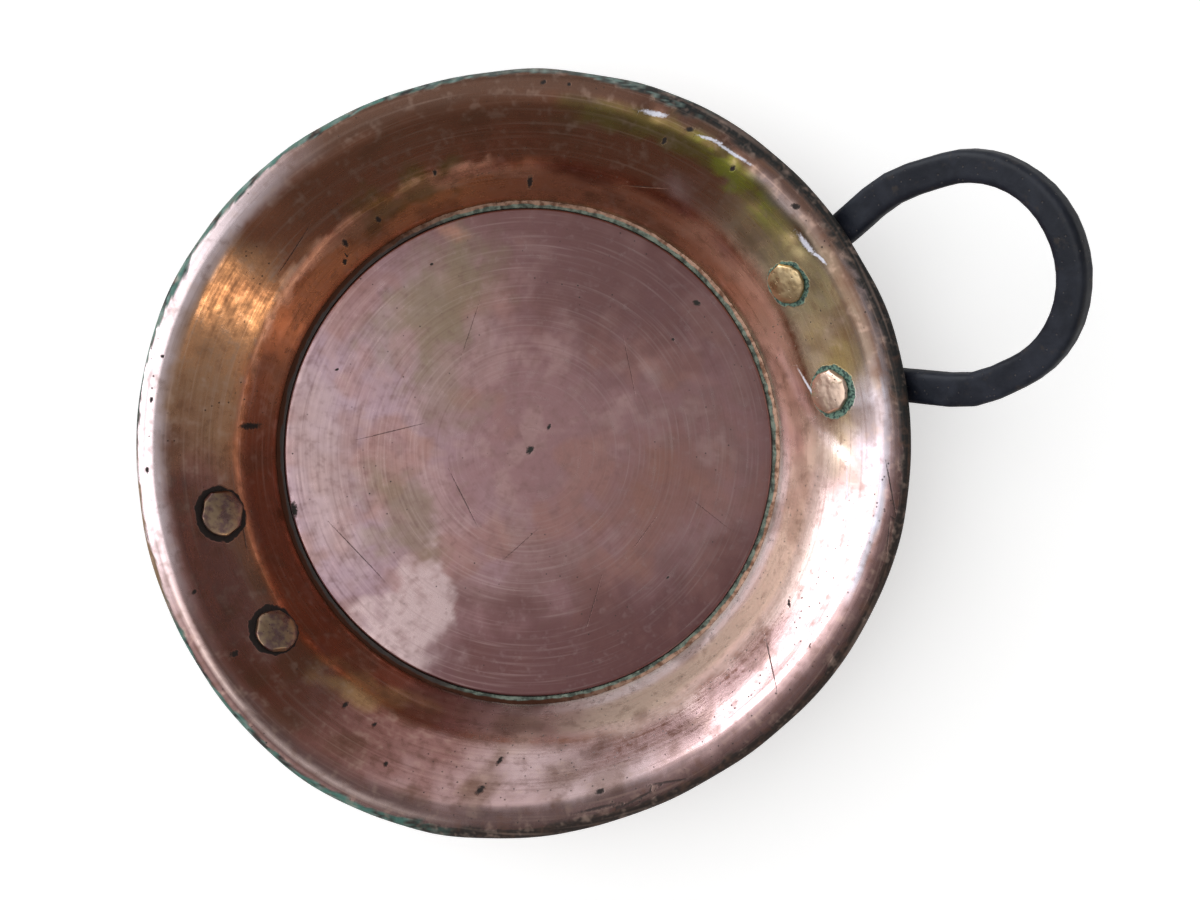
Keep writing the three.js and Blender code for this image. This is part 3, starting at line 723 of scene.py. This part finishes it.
# %% Sharp marks on the wall
# Spots of tar: x, y, half length, half width, direction
SPOTS = [(-114.2, 58, 3.2, 1.4, 168), (48.2, 116.5, 2.2, 1.2, 40), (-42.3, 121, 1.5, 1.2, 60),
         (-46.7, 114.8, 1.3, 0.8, 40), (-24, 125.5, 1.3, 1.1, 0), (-150.1, -36.6, 1.6, 1.5, 0),
         (-155.7, -5, 1.2, 0.8, 40), (151.3, 54.6, 1.8, 1.0, 140), (132.5, 80.8, 1.2, 1.0, 0),
         (109.5, 104, 1.4, 1.1, 30), (121, 103, 1.7, 0.9, 160), (9, 133.5, 1.2, 0.8, 60),
         (69, 146, 1.3, 0.8, 20), (79, 141, 0.9, 0.7, 0), (-61, -125.5, 1.6, 0.9, 20),
         (-72.1, -132.4, 2.0, 1.1, 10), (-107, -106.8, 0.9, 0.8, 0), (-117, -77, 1.3, 0.9, 30),
         (-108, -90, 1.0, 0.7, 0), (-22.6, -151.3, 2.0, 1.0, 0), (86, -108, 1.6, 0.5, 70),
         (-141.7, 80.1, 1.1, 0.8, 60), (-130, 96, 0.9, 0.7, 0), (-154.6, 52.2, 1.2, 0.7, 80)]
# Cracks and scratches, given the same way
LINES = [(-26, -157, 9, 0.5, -8), (-8, -159.5, 10, 0.45, 6), (8, -158, 8, 0.4, -12),
         (143.8, -76, 12, 0.25, 78), (135, -94, 7, 0.22, 62), (68, -128, 10, 0.2, 76),
         (-62, 124, 12, 0.22, 33), (96, 92, 8, 0.2, -30), (-133, 12, 9, 0.2, 80),
         # Light ones, with a sixth entry: glints along the lip and the flare. They are painted
         # on, not reflected, so they stay light from every side and under any lamp
         (108.9, 115.6, 5.2, 1.0, -34, 1), (127.4, 96.0, 4.5, 0.6, -40, 1),
         (134.4, 86.6, 8.0, 0.6, -54, 1), (150.4, 37.8, 5.5, 0.9, -76, 1),
         (153.6, 29.5, 3.0, 0.5, -70, 1), (131.5, -20, 8, 0.4, -84, 1),
         (118, -92, 14, 0.25, -130, 1), (128, -70, 10, 0.2, -112, 1)]
# Crust round each rivet: its width in mm, the direction it is thickest in, 1 if it is green
RINGS = {"handle_rivet_upper": (1.2, -67, 1), "handle_rivet_lower": (2.0, -20, 1),
         "stub_rivet_upper": (2.1, 200, 0), "stub_rivet_lower": (1.9, 105, 0)}


# %% Paint the wall
UPWARD = 0.05  # how far a normal leans up where marks are laid, so that none runs underneath
NO_RING = 9.0  # mm from a rivet's crust, stored where none is near


def paint_wall():
    b = Brush(wall)
    dust_and_sheen = np.maximum(paint_band(b), paint_stains_and_highlights(b))
    crust, outside = paint_lip(b), paint_outside(b)
    b.keep("ground", b.colour)
    pitted = np.maximum(soft(b.cloud(32, 6.6), 0.0, 0.4), 0.9 * b.arc(-62, 46, 16))
    b.keep("state", np.array([crust, outside, pitted]).T)
    inside = b.up > UPWARD
    b.keep_marks("spots", SPOTS, inside)
    b.keep_marks("lines", LINES, inside)
    rings = np.array([0 * dust_and_sheen + NO_RING, 0 * dust_and_sheen, dust_and_sheen]).T
    for node, (width, lean, green) in RINGS.items():
        angle, rise, radius, _ = RIVETS[node]
        from_rivet = np.array([b.x, b.y, b.height]).T - np.array(band_point(angle, rise)[0]) / MM
        a = math.radians(lean)
        toward_lean = from_rivet @ np.array((math.cos(a), math.sin(a), 0))
        apart = np.linalg.norm(from_rivet, axis=1) - radius - width - 0.07 * toward_lean
        closer = (apart < rings[:, 0]) & inside
        rings[closer] = np.array([apart, 0 * apart + green, dust_and_sheen]).T[closer]
    b.keep("rings", rings)
    print("wall painted:", len(b.x), "points")


# %% Marks on the disc, given as those on the wall
DISC_MARKS = [(1.3, 0.3, 2.0, 1.4, 30), (13.8, 7.1, 1.6, 0.7, 40), (100.9, 35.9, 1.8, 1.2, 140),
              (-113.6, 15.5, 3.5, 1.5, 75), (-9.5, 100, 0.7, 0.6, 0), (84, 24, 0.8, 0.6, 0),
              (-70, 70, 0.8, 0.5, 0), (40, -80, 0.9, 0.5, 20)]
DISC_LINES = [(-36.5, -9, 12, 0.3, 95), (-57, 33, 15, 0.16, -8), (-4, 64, 12, 0.16, 50),
              (3, -78, 11, 0.2, 52), (38, -56, 8, 0.18, 32), (-93, -14, 17, 0.2, -68),
              (60, 20, 14, 0.15, 80), (-20, -40, 10, 0.14, 20), (70, -60, 12, 0.16, 120)]


# %% Tarnish on the disc
# Laid as the wall's patches, but their outlines wander with other clouds, by this many mm. The
# first darkens the disc towards the upper right
DISC_CLOUDS = [((62, 68, 38, 0.6, -40, 1.6), 20, (0.20, 0.100, 0.098), 0.75),
               ((52, -40, 16, 0.7, 40, 1.7), 16, (0.34, 0.165, 0.125), 0.5),
               ((-14, 80, 20, 0.6, 20, 1.6), 16, (0.30, 0.23, 0.15), 0.75),
               ((-62, -4, 15, 0.6, 105, 1.5), 16, (0.30, 0.22, 0.155), 0.7),
               ((-24, 48, 14, 0.7, 60, 1.5), 16, (0.32, 0.24, 0.17), 0.5),
               # Painted highlight: the last one, a pale stroke along the disc's left edge.
               ((-95, 30, 14, 0.7, 80, 2.6), 12, (0.56, 0.41, 0.40), 0.6)]


def noise_rings(b):
    """Noise that follows the scouring round and round."""
    places = (Vector((math.cos(a) * 2.2, math.sin(a) * 2.2, r / 8))
              for a, r in zip(np.radians(b.around), b.far))
    return np.array([noise.fractal(place, 0.7, 2.0, 3) for place in places])


def paint_disc():
    b = Brush(disc)
    wide, mid, small = b.cloud(60, 1.1, 4), b.cloud(20, 2.2, 4), b.cloud(7, 3.3)
    b.lay((0.38, 0.215, 0.22), 1.0)
    # Painted light: the disc made lighter towards the left, the window's side.
    b.lay((0.50, 0.36, 0.42), b.beyond(-40, 16, 158, 60, 40 * wide), 0.85)
    b.lay((0.33, 0.19, 0.175), soft(wide + 0.5 * mid, 0.05, 0.45), 0.6)
    b.lay((0.55, 0.36, 0.34), soft(mid, 0.0, 0.5), 0.4)
    b.lay((0.42, 0.215, 0.175), soft(b.cloud(34, 8.2), 0.0, 0.4), 0.5)
    b.lay((0.28, 0.165, 0.15), soft(small, 0.05, 0.5), 0.3)
    arcs = noise_rings(b)
    scoured = soft(b.far, 20, 80) * soft(mid, -0.3, 0.2)
    b.lay((0.56, 0.38, 0.37), soft(arcs, 0.0, 0.6), scoured, 0.3)
    b.lay((0.28, 0.155, 0.15), soft(-arcs, 0.0, 0.6), soft(b.far, 5, 60), 0.25)
    b.lay((0.25, 0.13, 0.125), soft(b.far + 6 * mid, 94, 114), b.arc(28, 120, 30), 0.6)
    b.lay((0.17, 0.078, 0.078), b.beyond(0, -68, -102, 26, 20 * mid), 0.85)
    for patch, waver, colour, share in DISC_CLOUDS:
        b.lay(colour, b.near(*patch, waver * mid), share)
    # A paler, smoother patch lies between three edges: a sharp one at its right, two soft ones
    pale_patch = b.beyond(-62, -66, 172, 1.5, 4 * mid) * b.beyond(-92, -38, -66, 7, 14 * mid)
    pale_patch = pale_patch * b.beyond(-82, -80, 128, 8, 10 * mid)
    b.lay((0.68, 0.51, 0.51), pale_patch, 0.9 - 0.4 * soft(small, 0.0, 0.6))
    b.lay((0.60, 0.30, 0.22), b.near(5, 111, 3.2, 0.7, 130, 2.0, 2 * small), 0.7)
    under = soft(b.height, 2.6, 2.2)
    b.lay((0.13, 0.07, 0.045), under)
    b.lay((0.04, 0.034, 0.03), under, soft(mid, -0.2, 0.3), 0.8)
    b.keep("ground", b.colour)
    b.keep("state", np.array([pale_patch, under, soft(mid + wide, -0.4, 0.5)]).T)
    b.keep_marks("spots", DISC_MARKS, under < 0.5)
    b.keep_marks("lines", DISC_LINES, under < 0.5)
    print("disc painted:", len(b.x), "points")


# %% Lay the paint on
paint_wall()
paint_disc()

# %% [markdown]
# ## Finishes from nodes
# The nodes work from the place of a point on the object, or from what was painted there, never
# from a picture. They add what is finer than the mesh: hammer mottle, scouring, pits, the sharp
# outlines of spots and scratches. A few helpers keep the node trees readable.

# %% Helpers for node trees
class Nodes:
    def __init__(self, tree):
        self.tree = tree

    def add(self, kind, inputs=(), **settings):
        node = self.tree.nodes.new(kind)
        for name, value in settings.items():
            setattr(node, name, value)
        for socket, value in dict(inputs).items():
            self.put(node.inputs[socket], value)
        return node

    def put(self, socket, value):
        if isinstance(value, bpy.types.NodeSocket):
            self.tree.links.new(value, socket)
        else:
            if getattr(socket, "type", "") == "RGBA" and len(value) == 3:
                value = (*value, 1.0)
            socket.default_value = value

    def math(self, operation, a, b=0.0, c=0.0):
        return self.add("ShaderNodeMath", {0: a, 1: b, 2: c}, operation=operation).outputs[0]

    def ramp(self, value, low, high, to=(0.0, 1.0)):
        """A soft step: to[0] where value is at low, to[1] where it is at high."""
        return self.add("ShaderNodeMapRange", {
            "Value": value, "From Min": low, "From Max": high, "To Min": to[0], "To Max": to[1]},
            interpolation_type="SMOOTHSTEP").outputs[0]

    def mix(self, share, a, b):
        """Colour a where share is 0, colour b where it is 1."""
        node = self.add("ShaderNodeMix", data_type="RGBA")
        self.put(node.inputs["Factor"], share)
        colours = [s for s in node.inputs if s.type == "RGBA"]
        self.put(colours[0], a)
        self.put(colours[1], b)
        return next(s for s in node.outputs if s.type == "RGBA")

    def fade(self, share, a, b):
        """Number a where share is 0, number b where it is 1."""
        node = self.add("ShaderNodeMix", data_type="FLOAT")
        for socket, value in zip((node.inputs["Factor"], node.inputs[2], node.inputs[3]),
                                 (share, a, b)):
            self.put(socket, value)
        return node.outputs[0]

    def run(self, operation, shares):
        result = shares[0]
        for share in shares[1:]:
            result = self.math(operation, result, share)
        return result

    def times(self, *shares):
        return self.run("MULTIPLY", shares)

    def most(self, *shares):
        return self.run("MAXIMUM", shares)

    def sum(self, *shares):
        return self.run("ADD", shares)


# %% Helpers for finishes
class Finish(Nodes):
    def __init__(self, name):
        self.material = bpy.data.materials.new(name)
        self.material.use_nodes = True
        super().__init__(self.material.node_tree)
        self.shader = self.tree.nodes["Principled BSDF"]
        self.place = self.add("ShaderNodeTexCoord").outputs["Object"]
        self.x, self.y, self.height = (self.part(self.place, axis, 1 / MM) for axis in range(3))
        self.far = self.length(self.x, self.y)

    def length(self, a, b):
        return self.math("SQRT", self.sum(self.times(a, a), self.times(b, b)))

    def part(self, vector, axis, scale=1.0):
        """How far a vector reaches along x, y or z."""
        ways = tuple(scale if k == axis else 0.0 for k in range(3))
        return self.add("ShaderNodeVectorMath", {0: vector, 1: ways},
                        operation="DOT_PRODUCT").outputs["Value"]

    def painted(self, name):
        """What a brush kept under a name, as a colour."""
        return self.add("ShaderNodeAttribute", attribute_name=name).outputs["Color"]

    def painted_parts(self, name):
        vector = self.add("ShaderNodeAttribute", attribute_name=name).outputs["Vector"]
        return [self.part(vector, axis) for axis in range(3)]

    def marks(self, name, edge, ragged):
        """The sharp marks that keep_marks has stored, with an edge roughened by noise."""
        along, across, off = self.painted_parts(name)
        away = self.length(along, across)
        return self.times(self.ramp(self.sum(away, ragged), 1 + edge, 1 - edge),
                          self.ramp(off, 0.5, 0.1))

    def moved(self, seed):
        """The place, shifted so that each seed meets another part of a texture."""
        return self.add("ShaderNodeMapping", {
            "Vector": self.place, "Location": (0.31 * seed, -0.17 * seed, 0.23 * seed),
            "Rotation": ASKEW}).outputs[0]

    def noise(self, size, detail=3.0, rough=0.55, bend=0.0, seed=0.0):
        """Cloudy noise with spots about size mm across."""
        return self.add("ShaderNodeTexNoise", {
            "Vector": self.moved(seed), "Scale": 1 / (size * MM), "Detail": detail,
            "Roughness": rough, "Distortion": bend}).outputs[0]

    def streaks(self, size, length, detail=2.0, rough=0.6):
        """Noise drawn out round the axis: marks size mm across and about length mm long."""
        across = self.math("MULTIPLY_ADD", self.height, 0.7, self.far)
        return self.add("ShaderNodeTexNoise", {
            "Vector": self.place, "W": self.times(across, MM * length / size),
            "Scale": 1 / (length * MM), "Detail": detail, "Roughness": rough},
            noise_dimensions="4D").outputs[0]

    def cells(self, size, seed=0.0):
        """Distance from scattered points about size mm apart, as a share of that size."""
        return self.add("ShaderNodeTexVoronoi", {
            "Vector": self.moved(seed), "Scale": 1 / (size * MM)}).outputs["Distance"]

    def near(self, x, y, size, blur=0.3):
        """A soft round spot at (x, y) mm: 1 inside, 0 outside."""
        across, along = self.math("SUBTRACT", self.x, x), self.math("SUBTRACT", self.y, y)
        return self.ramp(self.length(across, along), size * (1 + blur), size * (1 - blur))

    def bump(self, *heights):
        """Adds pairs of a signal and its depth in mm up as one bump on the shader."""
        total = self.sum(*(self.times(signal, depth * MM) for signal, depth in heights))
        node = self.add("ShaderNodeBump", {"Height": total, "Distance": 1.0, "Strength": 1.0})
        self.put(self.shader.inputs["Normal"], node.outputs[0])

    def finish(self, colour, rough, metal=1.0):
        self.put(self.shader.inputs["Base Color"], colour)
        self.put(self.shader.inputs["Roughness"], rough)
        self.put(self.shader.inputs["Metallic"], metal)
        return self.material


# %% Wall copper
TAR = (0.022, 0.014, 0.012)


def wall_finish():
    f = Finish("wall_copper")
    crust, outside, pitted = f.painted_parts("state")
    mottle, fleck = f.noise(6, 2, 0.65, seed=2), f.noise(1.2, 1, 0.6, seed=3)
    sweep = f.streaks(1.5, 60, 1)
    ragged = f.ramp(fleck, 0.2, 0.8, (-0.3, 0.3))
    colour = f.painted("ground")
    colour = f.mix(f.ramp(mottle, 0.50, 0.75, (0, 0.4)), colour, (0.17, 0.085, 0.055))
    colour = f.mix(f.ramp(mottle, 0.48, 0.25, (0, 0.25)), colour, (0.75, 0.52, 0.42))
    colour = f.mix(f.ramp(sweep, 0.52, 0.80, (0, 0.2)), colour, (0.80, 0.56, 0.46))
    colour = f.mix(f.ramp(sweep, 0.48, 0.24, (0, 0.25)), colour, (0.16, 0.08, 0.05))
    spots, lines = f.marks("spots", 0.4, ragged), f.marks("lines", 0.5, ragged)
    # Painted highlights: the light marks, pale and nearly without metal.
    light = f.ramp(f.painted_parts("lines")[2], -0.4, -0.6)
    bright, lines = f.times(lines, light), f.times(lines, f.ramp(light, 1, 0))
    away, green, dust_and_sheen = f.painted_parts("rings")
    ring = f.ramp(f.sum(away, f.ramp(mottle, 0.3, 0.7, (-0.7, 0.7))), 0.5, -0.3)
    crusty = f.mix(f.ramp(fleck, 0.35, 0.6), (0.02, 0.05, 0.045), (0.15, 0.26, 0.20))
    colour = f.mix(ring, colour, f.mix(green, TAR, crusty))
    pits = f.times(f.ramp(f.cells(3.4, seed=1), 0.17, 0.08), pitted)
    dark = f.most(spots, f.times(lines, 0.8), f.times(pits, 0.8))
    colour = f.mix(f.times(bright, 0.9), f.mix(dark, colour, TAR), (0.82, 0.83, 0.95))
    film = f.most(dark, ring, crust)
    rough = f.sum(f.ramp(mottle, 0.3, 0.7, (0.17, 0.29)), f.ramp(sweep, 0.3, 0.7, (0.04, -0.04)),
                  f.times(outside, 0.2))
    flakes = f.times(f.most(ring, crust), fleck)
    f.bump((mottle, 0.03), (fleck, 0.012), (sweep, 0.012), (flakes, 0.25), (spots, -0.1),
           (lines, -0.12))
    metal = f.fade(f.most(film, bright), f.ramp(dust_and_sheen, 0, 1, (1.0, 0.45)), 0.1)
    return f.finish(colour, f.fade(film, rough, 0.75), metal)


# %% Disc copper
def disc_finish():
    f = Finish("disc_copper")
    pale_patch, under, cloudy = f.painted_parts("state")
    mottle, fleck = f.noise(5, 2, 0.65, seed=12), f.noise(1.1, 1, 0.6, seed=13)
    rings = f.streaks(1.2, 36, 1)
    ragged = f.ramp(fleck, 0.2, 0.8, (-0.3, 0.3))
    colour = f.painted("ground")
    colour = f.mix(f.ramp(mottle, 0.50, 0.75, (0, 0.35)), colour, (0.22, 0.125, 0.115))
    colour = f.mix(f.ramp(mottle, 0.46, 0.2, (0, 0.15)), colour, (0.70, 0.51, 0.50))
    outer = f.ramp(f.far, 5, 50)
    worn = f.times(f.ramp(rings, 0.50, 0.85, (0, 0.24)), outer)
    colour = f.mix(worn, colour, (0.74, 0.54, 0.52))
    grimy = f.times(f.ramp(rings, 0.48, 0.20, (0, 0.26)), outer)
    colour = f.mix(grimy, colour, (0.18, 0.09, 0.085))
    spots, lines = f.marks("spots", 0.4, ragged), f.marks("lines", 0.5, ragged)
    pits = f.times(f.ramp(f.cells(5.0, seed=3), 0.10, 0.05), cloudy)
    dark = f.most(spots, f.times(lines, 0.55), f.times(pits, 0.8))
    colour = f.mix(dark, colour, (0.03, 0.028, 0.025))
    rough = f.sum(f.ramp(mottle, 0.3, 0.7, (0.30, 0.40)), f.times(pale_patch, -0.06),
                  f.ramp(rings, 0.3, 0.7, (0.06, -0.04)), f.times(under, 0.2))
    f.bump((rings, 0.008), (mottle, 0.025), (fleck, 0.008), (spots, -0.1), (lines, -0.1))
    return f.finish(colour, f.fade(dark, rough, 0.7), f.fade(dark, 1.0, 0.3))


# %% [markdown]
# ## Rivets, seam and iron
# The rivet heads are the lightest copper on the pan, since nothing shields them from the cloth;
# their hammered ends under the rim are as brown as the pan's outside.
# The seam is green only where damp sits: a thin line along the disc, except at the left, where it
# is brown and darkened as painted shade in the groove. The iron is black from fire and hands.

# %% Rivet copper
def rivet_finish():
    f = Finish("rivet_copper")
    mottle, fine = f.noise(5, 3, 0.6, seed=21), f.noise(1.4, 2, 0.6, seed=24)
    pink, left = f.near(145, -27.5, 15, 0.2), f.ramp(f.x, 10, -10)
    colour = f.mix(f.ramp(mottle, 0.35, 0.65), (0.56, 0.40, 0.22), (0.72, 0.56, 0.33))
    colour = f.mix(pink, colour, f.mix(mottle, (0.62, 0.45, 0.36), (0.76, 0.58, 0.47)))
    dull = f.mix(f.ramp(mottle, 0.4, 0.6), (0.27, 0.165, 0.155), (0.46, 0.32, 0.21))
    colour = f.mix(left, colour, dull)
    film = f.ramp(f.noise(7, 3, 0.65, 0.6, seed=22), 0.55, 0.68)
    colour = f.mix(f.times(film, 0.6), colour, f.mix(left, (0.24, 0.19, 0.10), (0.19, 0.12, 0.11)))
    # The hammered ends lie outward of the wall, which is measured along its normal
    outward = f.sum(f.times(f.far, flare.y), f.times(f.height, -flare.x))
    wall_at = shoulder.x * flare.y - shoulder.y * flare.x
    colour = f.mix(f.ramp(outward, wall_at + 3.5, wall_at + 5.5), colour, (0.17, 0.095, 0.06))
    pits = f.ramp(f.cells(3.0, seed=23), 0.16, 0.07)
    colour = f.mix(f.times(pits, 0.8), colour, (0.05, 0.035, 0.03))
    f.bump((fine, 0.025), (mottle, 0.10), (pits, -0.12))
    return f.finish(colour, f.fade(f.most(film, pits), f.fade(mottle, 0.22, 0.36), 0.55),
                    f.fade(pits, 1.0, 0.4))


# %% Solder and verdigris
def seam_finish():
    f = Finish("seam_solder")
    mottle, fine = f.noise(3.5, 3, 0.65, seed=31), f.noise(0.8, 2, 0.6, seed=34)
    edge = f.sum(f.far, f.ramp(f.noise(9, 2, 0.6, seed=32), 0.25, 0.75, (-0.5, 0.5)))
    left = f.ramp(f.sum(f.times(f.x, -0.94), f.times(f.y, 0.34)), 22, 52)
    damp = f.times(f.ramp(edge, 118.3, 117.8), f.ramp(left, 1, 0))
    copper = f.mix(f.ramp(mottle, 0.35, 0.6), (0.16, 0.08, 0.05), (0.42, 0.26, 0.19))
    # Painted shade: the seam's copper darker towards the left, in the groove between disc and
    # wall.
    copper = f.mix(f.ramp(f.x, 20, -40), copper, (0.075, 0.028, 0.016))
    crust = f.mix(f.ramp(mottle, 0.36, 0.62), (0.07, 0.095, 0.078), (0.24, 0.30, 0.245))
    crust = f.mix(f.ramp(f.noise(5, 2, 0.6, seed=33), 0.32, 0.46), (0.045, 0.05, 0.042), crust)
    colour = f.mix(damp, f.mix(f.ramp(edge, 118.2, 117.6), copper, (0.03, 0.018, 0.013)), crust)
    f.bump((fine, 0.10), (mottle, 0.15))
    return f.finish(colour, f.fade(damp, 0.45, 0.9), f.fade(f.ramp(edge, 118.3, 117.8), 0.9, 0.0))


# %% Forged iron
def iron_finish():
    f = Finish("handle_iron")
    mottle, scale = f.noise(14, 3, 0.6, 0.4, seed=41), f.noise(2.2, 3, 0.65, seed=42)
    colour = f.mix(f.ramp(mottle, 0.35, 0.7), (0.007, 0.009, 0.016), (0.018, 0.021, 0.032))
    rust = f.ramp(f.noise(6, 3, 0.6, seed=43), 0.58, 0.75, (0, 0.6))
    colour = f.mix(rust, colour, (0.045, 0.034, 0.028))
    pits = f.ramp(f.cells(3.4, seed=44), 0.16, 0.06)
    colour = f.mix(f.times(pits, 0.6), colour, (0.08, 0.07, 0.065))
    f.bump((scale, 0.09), (mottle, 0.20), (pits, -0.20))
    f.put(f.shader.inputs["Specular IOR Level"], 0.28)
    return f.finish(colour, f.fade(f.ramp(mottle, 0.3, 0.7), 0.40, 0.54), 0.0)


# %% Rusted wire
def wire_finish():
    f = Finish("wire_iron")
    mottle = f.noise(5, 3, 0.6, seed=51)
    colour = f.mix(f.ramp(mottle, 0.35, 0.65), (0.05, 0.035, 0.03), (0.16, 0.07, 0.035))
    f.bump((mottle, 0.2))
    return f.finish(colour, 0.8, 0.2)


# %% Put the pieces on the frame
SMOOTH_UP_TO = 50  # degrees between faces


def settle(piece, material, slot, *nodes):
    piece.data.materials.clear()
    piece.data.materials.append(material)
    take(piece)
    bpy.ops.object.shade_smooth_by_angle(angle=math.radians(SMOOTH_UP_TO))
    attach(piece, "root")
    if nodes:
        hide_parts(*nodes)


settle(wall, wall_finish(), "wall_copper", "pan_wall")
settle(disc, disc_finish(), "disc_copper", "bottom_disc")
settle(seam, seam_finish(), "seam_solder", "bottom_seam")
iron = iron_finish()
settle(loop, iron, "handle_iron", "loop_handle")
for node, piece in stubs.items():
    settle(piece, iron, "handle_iron", node)
copper = rivet_finish()
for node, piece in rivets.items():
    settle(piece, copper, "rivet_copper", node)
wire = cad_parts["rim_wire"]
wire.material_slots[0].material = wire_finish()

# %% [markdown]
# ## Floor, world and lamps
# The pan stands on a plain pale floor in soft light. Copper shows what surrounds it, so the room
# matters more than the lamps: it is bright at the left, where a wide window would be, from the
# sill up to high overhead, and dimmer at the right and on the near side. The camera itself sees
# the floor and the room lifted to white. The lift is for its rays alone, so the copper and the
# iron reflect the dimmer room and floor.

# %% Floor
FLOOR_SIZE = 6.0
FLOOR_LIFT = 0.42
clear()
bpy.ops.mesh.primitive_grid_add(x_subdivisions=4, y_subdivisions=4, size=FLOOR_SIZE,
                                location=(0, 0, 0))
floor = bpy.context.object
floor.name = "floor"


def floor_finish():
    f = Finish("pale_floor")
    f.put(f.shader.inputs["Base Color"], (0.92, 0.92, 0.92))
    f.put(f.shader.inputs["Roughness"], 0.9)
    f.put(f.shader.inputs["Specular IOR Level"], 0.1)
    seen = f.add("ShaderNodeLightPath").outputs["Is Camera Ray"]
    f.put(f.shader.inputs["Emission Color"], (1.0, 1.0, 1.0))
    f.put(f.shader.inputs["Emission Strength"], f.times(seen, FLOOR_LIFT))
    return f.material


floor.data.materials.append(floor_finish())

# %% World
def toward(side, elevation):
    """Unit vector to a side of the picture, in degrees from its right, and a height."""
    a, e = math.radians(side - TURN), math.radians(elevation)
    return Vector((math.cos(a) * math.cos(e), math.sin(a) * math.cos(e), math.sin(e)))


world = bpy.data.worlds.new("soft_room")
bpy.context.scene.world = world
world.use_nodes = True
background = world.node_tree.nodes["Background"]
sky = Nodes(world.node_tree)
direction = sky.add("ShaderNodeTexCoord").outputs["Generated"]


def glow(side, elevation, inner, outer, strength):
    """Light from a round part of the room: full within inner degrees, gone beyond outer."""
    facing = sky.add("ShaderNodeVectorMath", {0: direction, 1: toward(side, elevation)},
                     operation="DOT_PRODUCT").outputs["Value"]
    return sky.ramp(facing, math.cos(math.radians(outer)), math.cos(math.radians(inner)),
                    (0.0, strength))


# Side, elevation, inner and outer reach in degrees, strength
ROOM = [(185, 46, 10, 44, 1.3), (152, 13, 14, 40, 0.9), (92, 9, 8, 42, 0.45),
        (-18, 15, 6, 34, 0.2)]
rise = sky.add("ShaderNodeSeparateXYZ", {0: direction}).outputs[2]
dim = sky.fade(sky.ramp(rise, 0.1, 0.95), 0.20, 0.42)
seen = sky.add("ShaderNodeLightPath").outputs["Is Camera Ray"]
room = sky.sum(dim, *(glow(*part) for part in ROOM))
sky.put(background.inputs["Strength"], sky.fade(seen, room, 1.0))
background.inputs["Color"].default_value = (1.0, 1.0, 1.0, 1.0)


# %% Lamps
def softbox(name, side, elevation, distance, size, radiance, colour=(1, 1, 1)):
    """A flat lamp facing the pan. radiance is how bright its face looks, white being 1."""
    lamp = bpy.data.lights.new(name, "AREA")
    lamp.shape = "RECTANGLE"
    lamp.size, lamp.size_y = size
    lamp.energy = radiance * math.pi * size[0] * size[1]
    lamp.color = colour
    holder = bpy.data.objects.new(name, lamp)
    bpy.context.scene.collection.objects.link(holder)
    holder.location = toward(side, elevation) * distance
    holder.rotation_euler = (-holder.location).to_track_quat("-Z", "Y").to_euler()


softbox("window", 148, 12, 2.0, (1.7, 0.75), 2.9, (0.88, 0.95, 1.0))
softbox("warm_lamp", -28, 15, 2.0, (0.3, 0.22), 6.0, (1.0, 0.75, 0.45))

# %% [markdown]
# ## Close
# The picture is shown as plain as it is computed.

# %% Close
bpy.context.scene.view_settings.view_transform = "Standard"
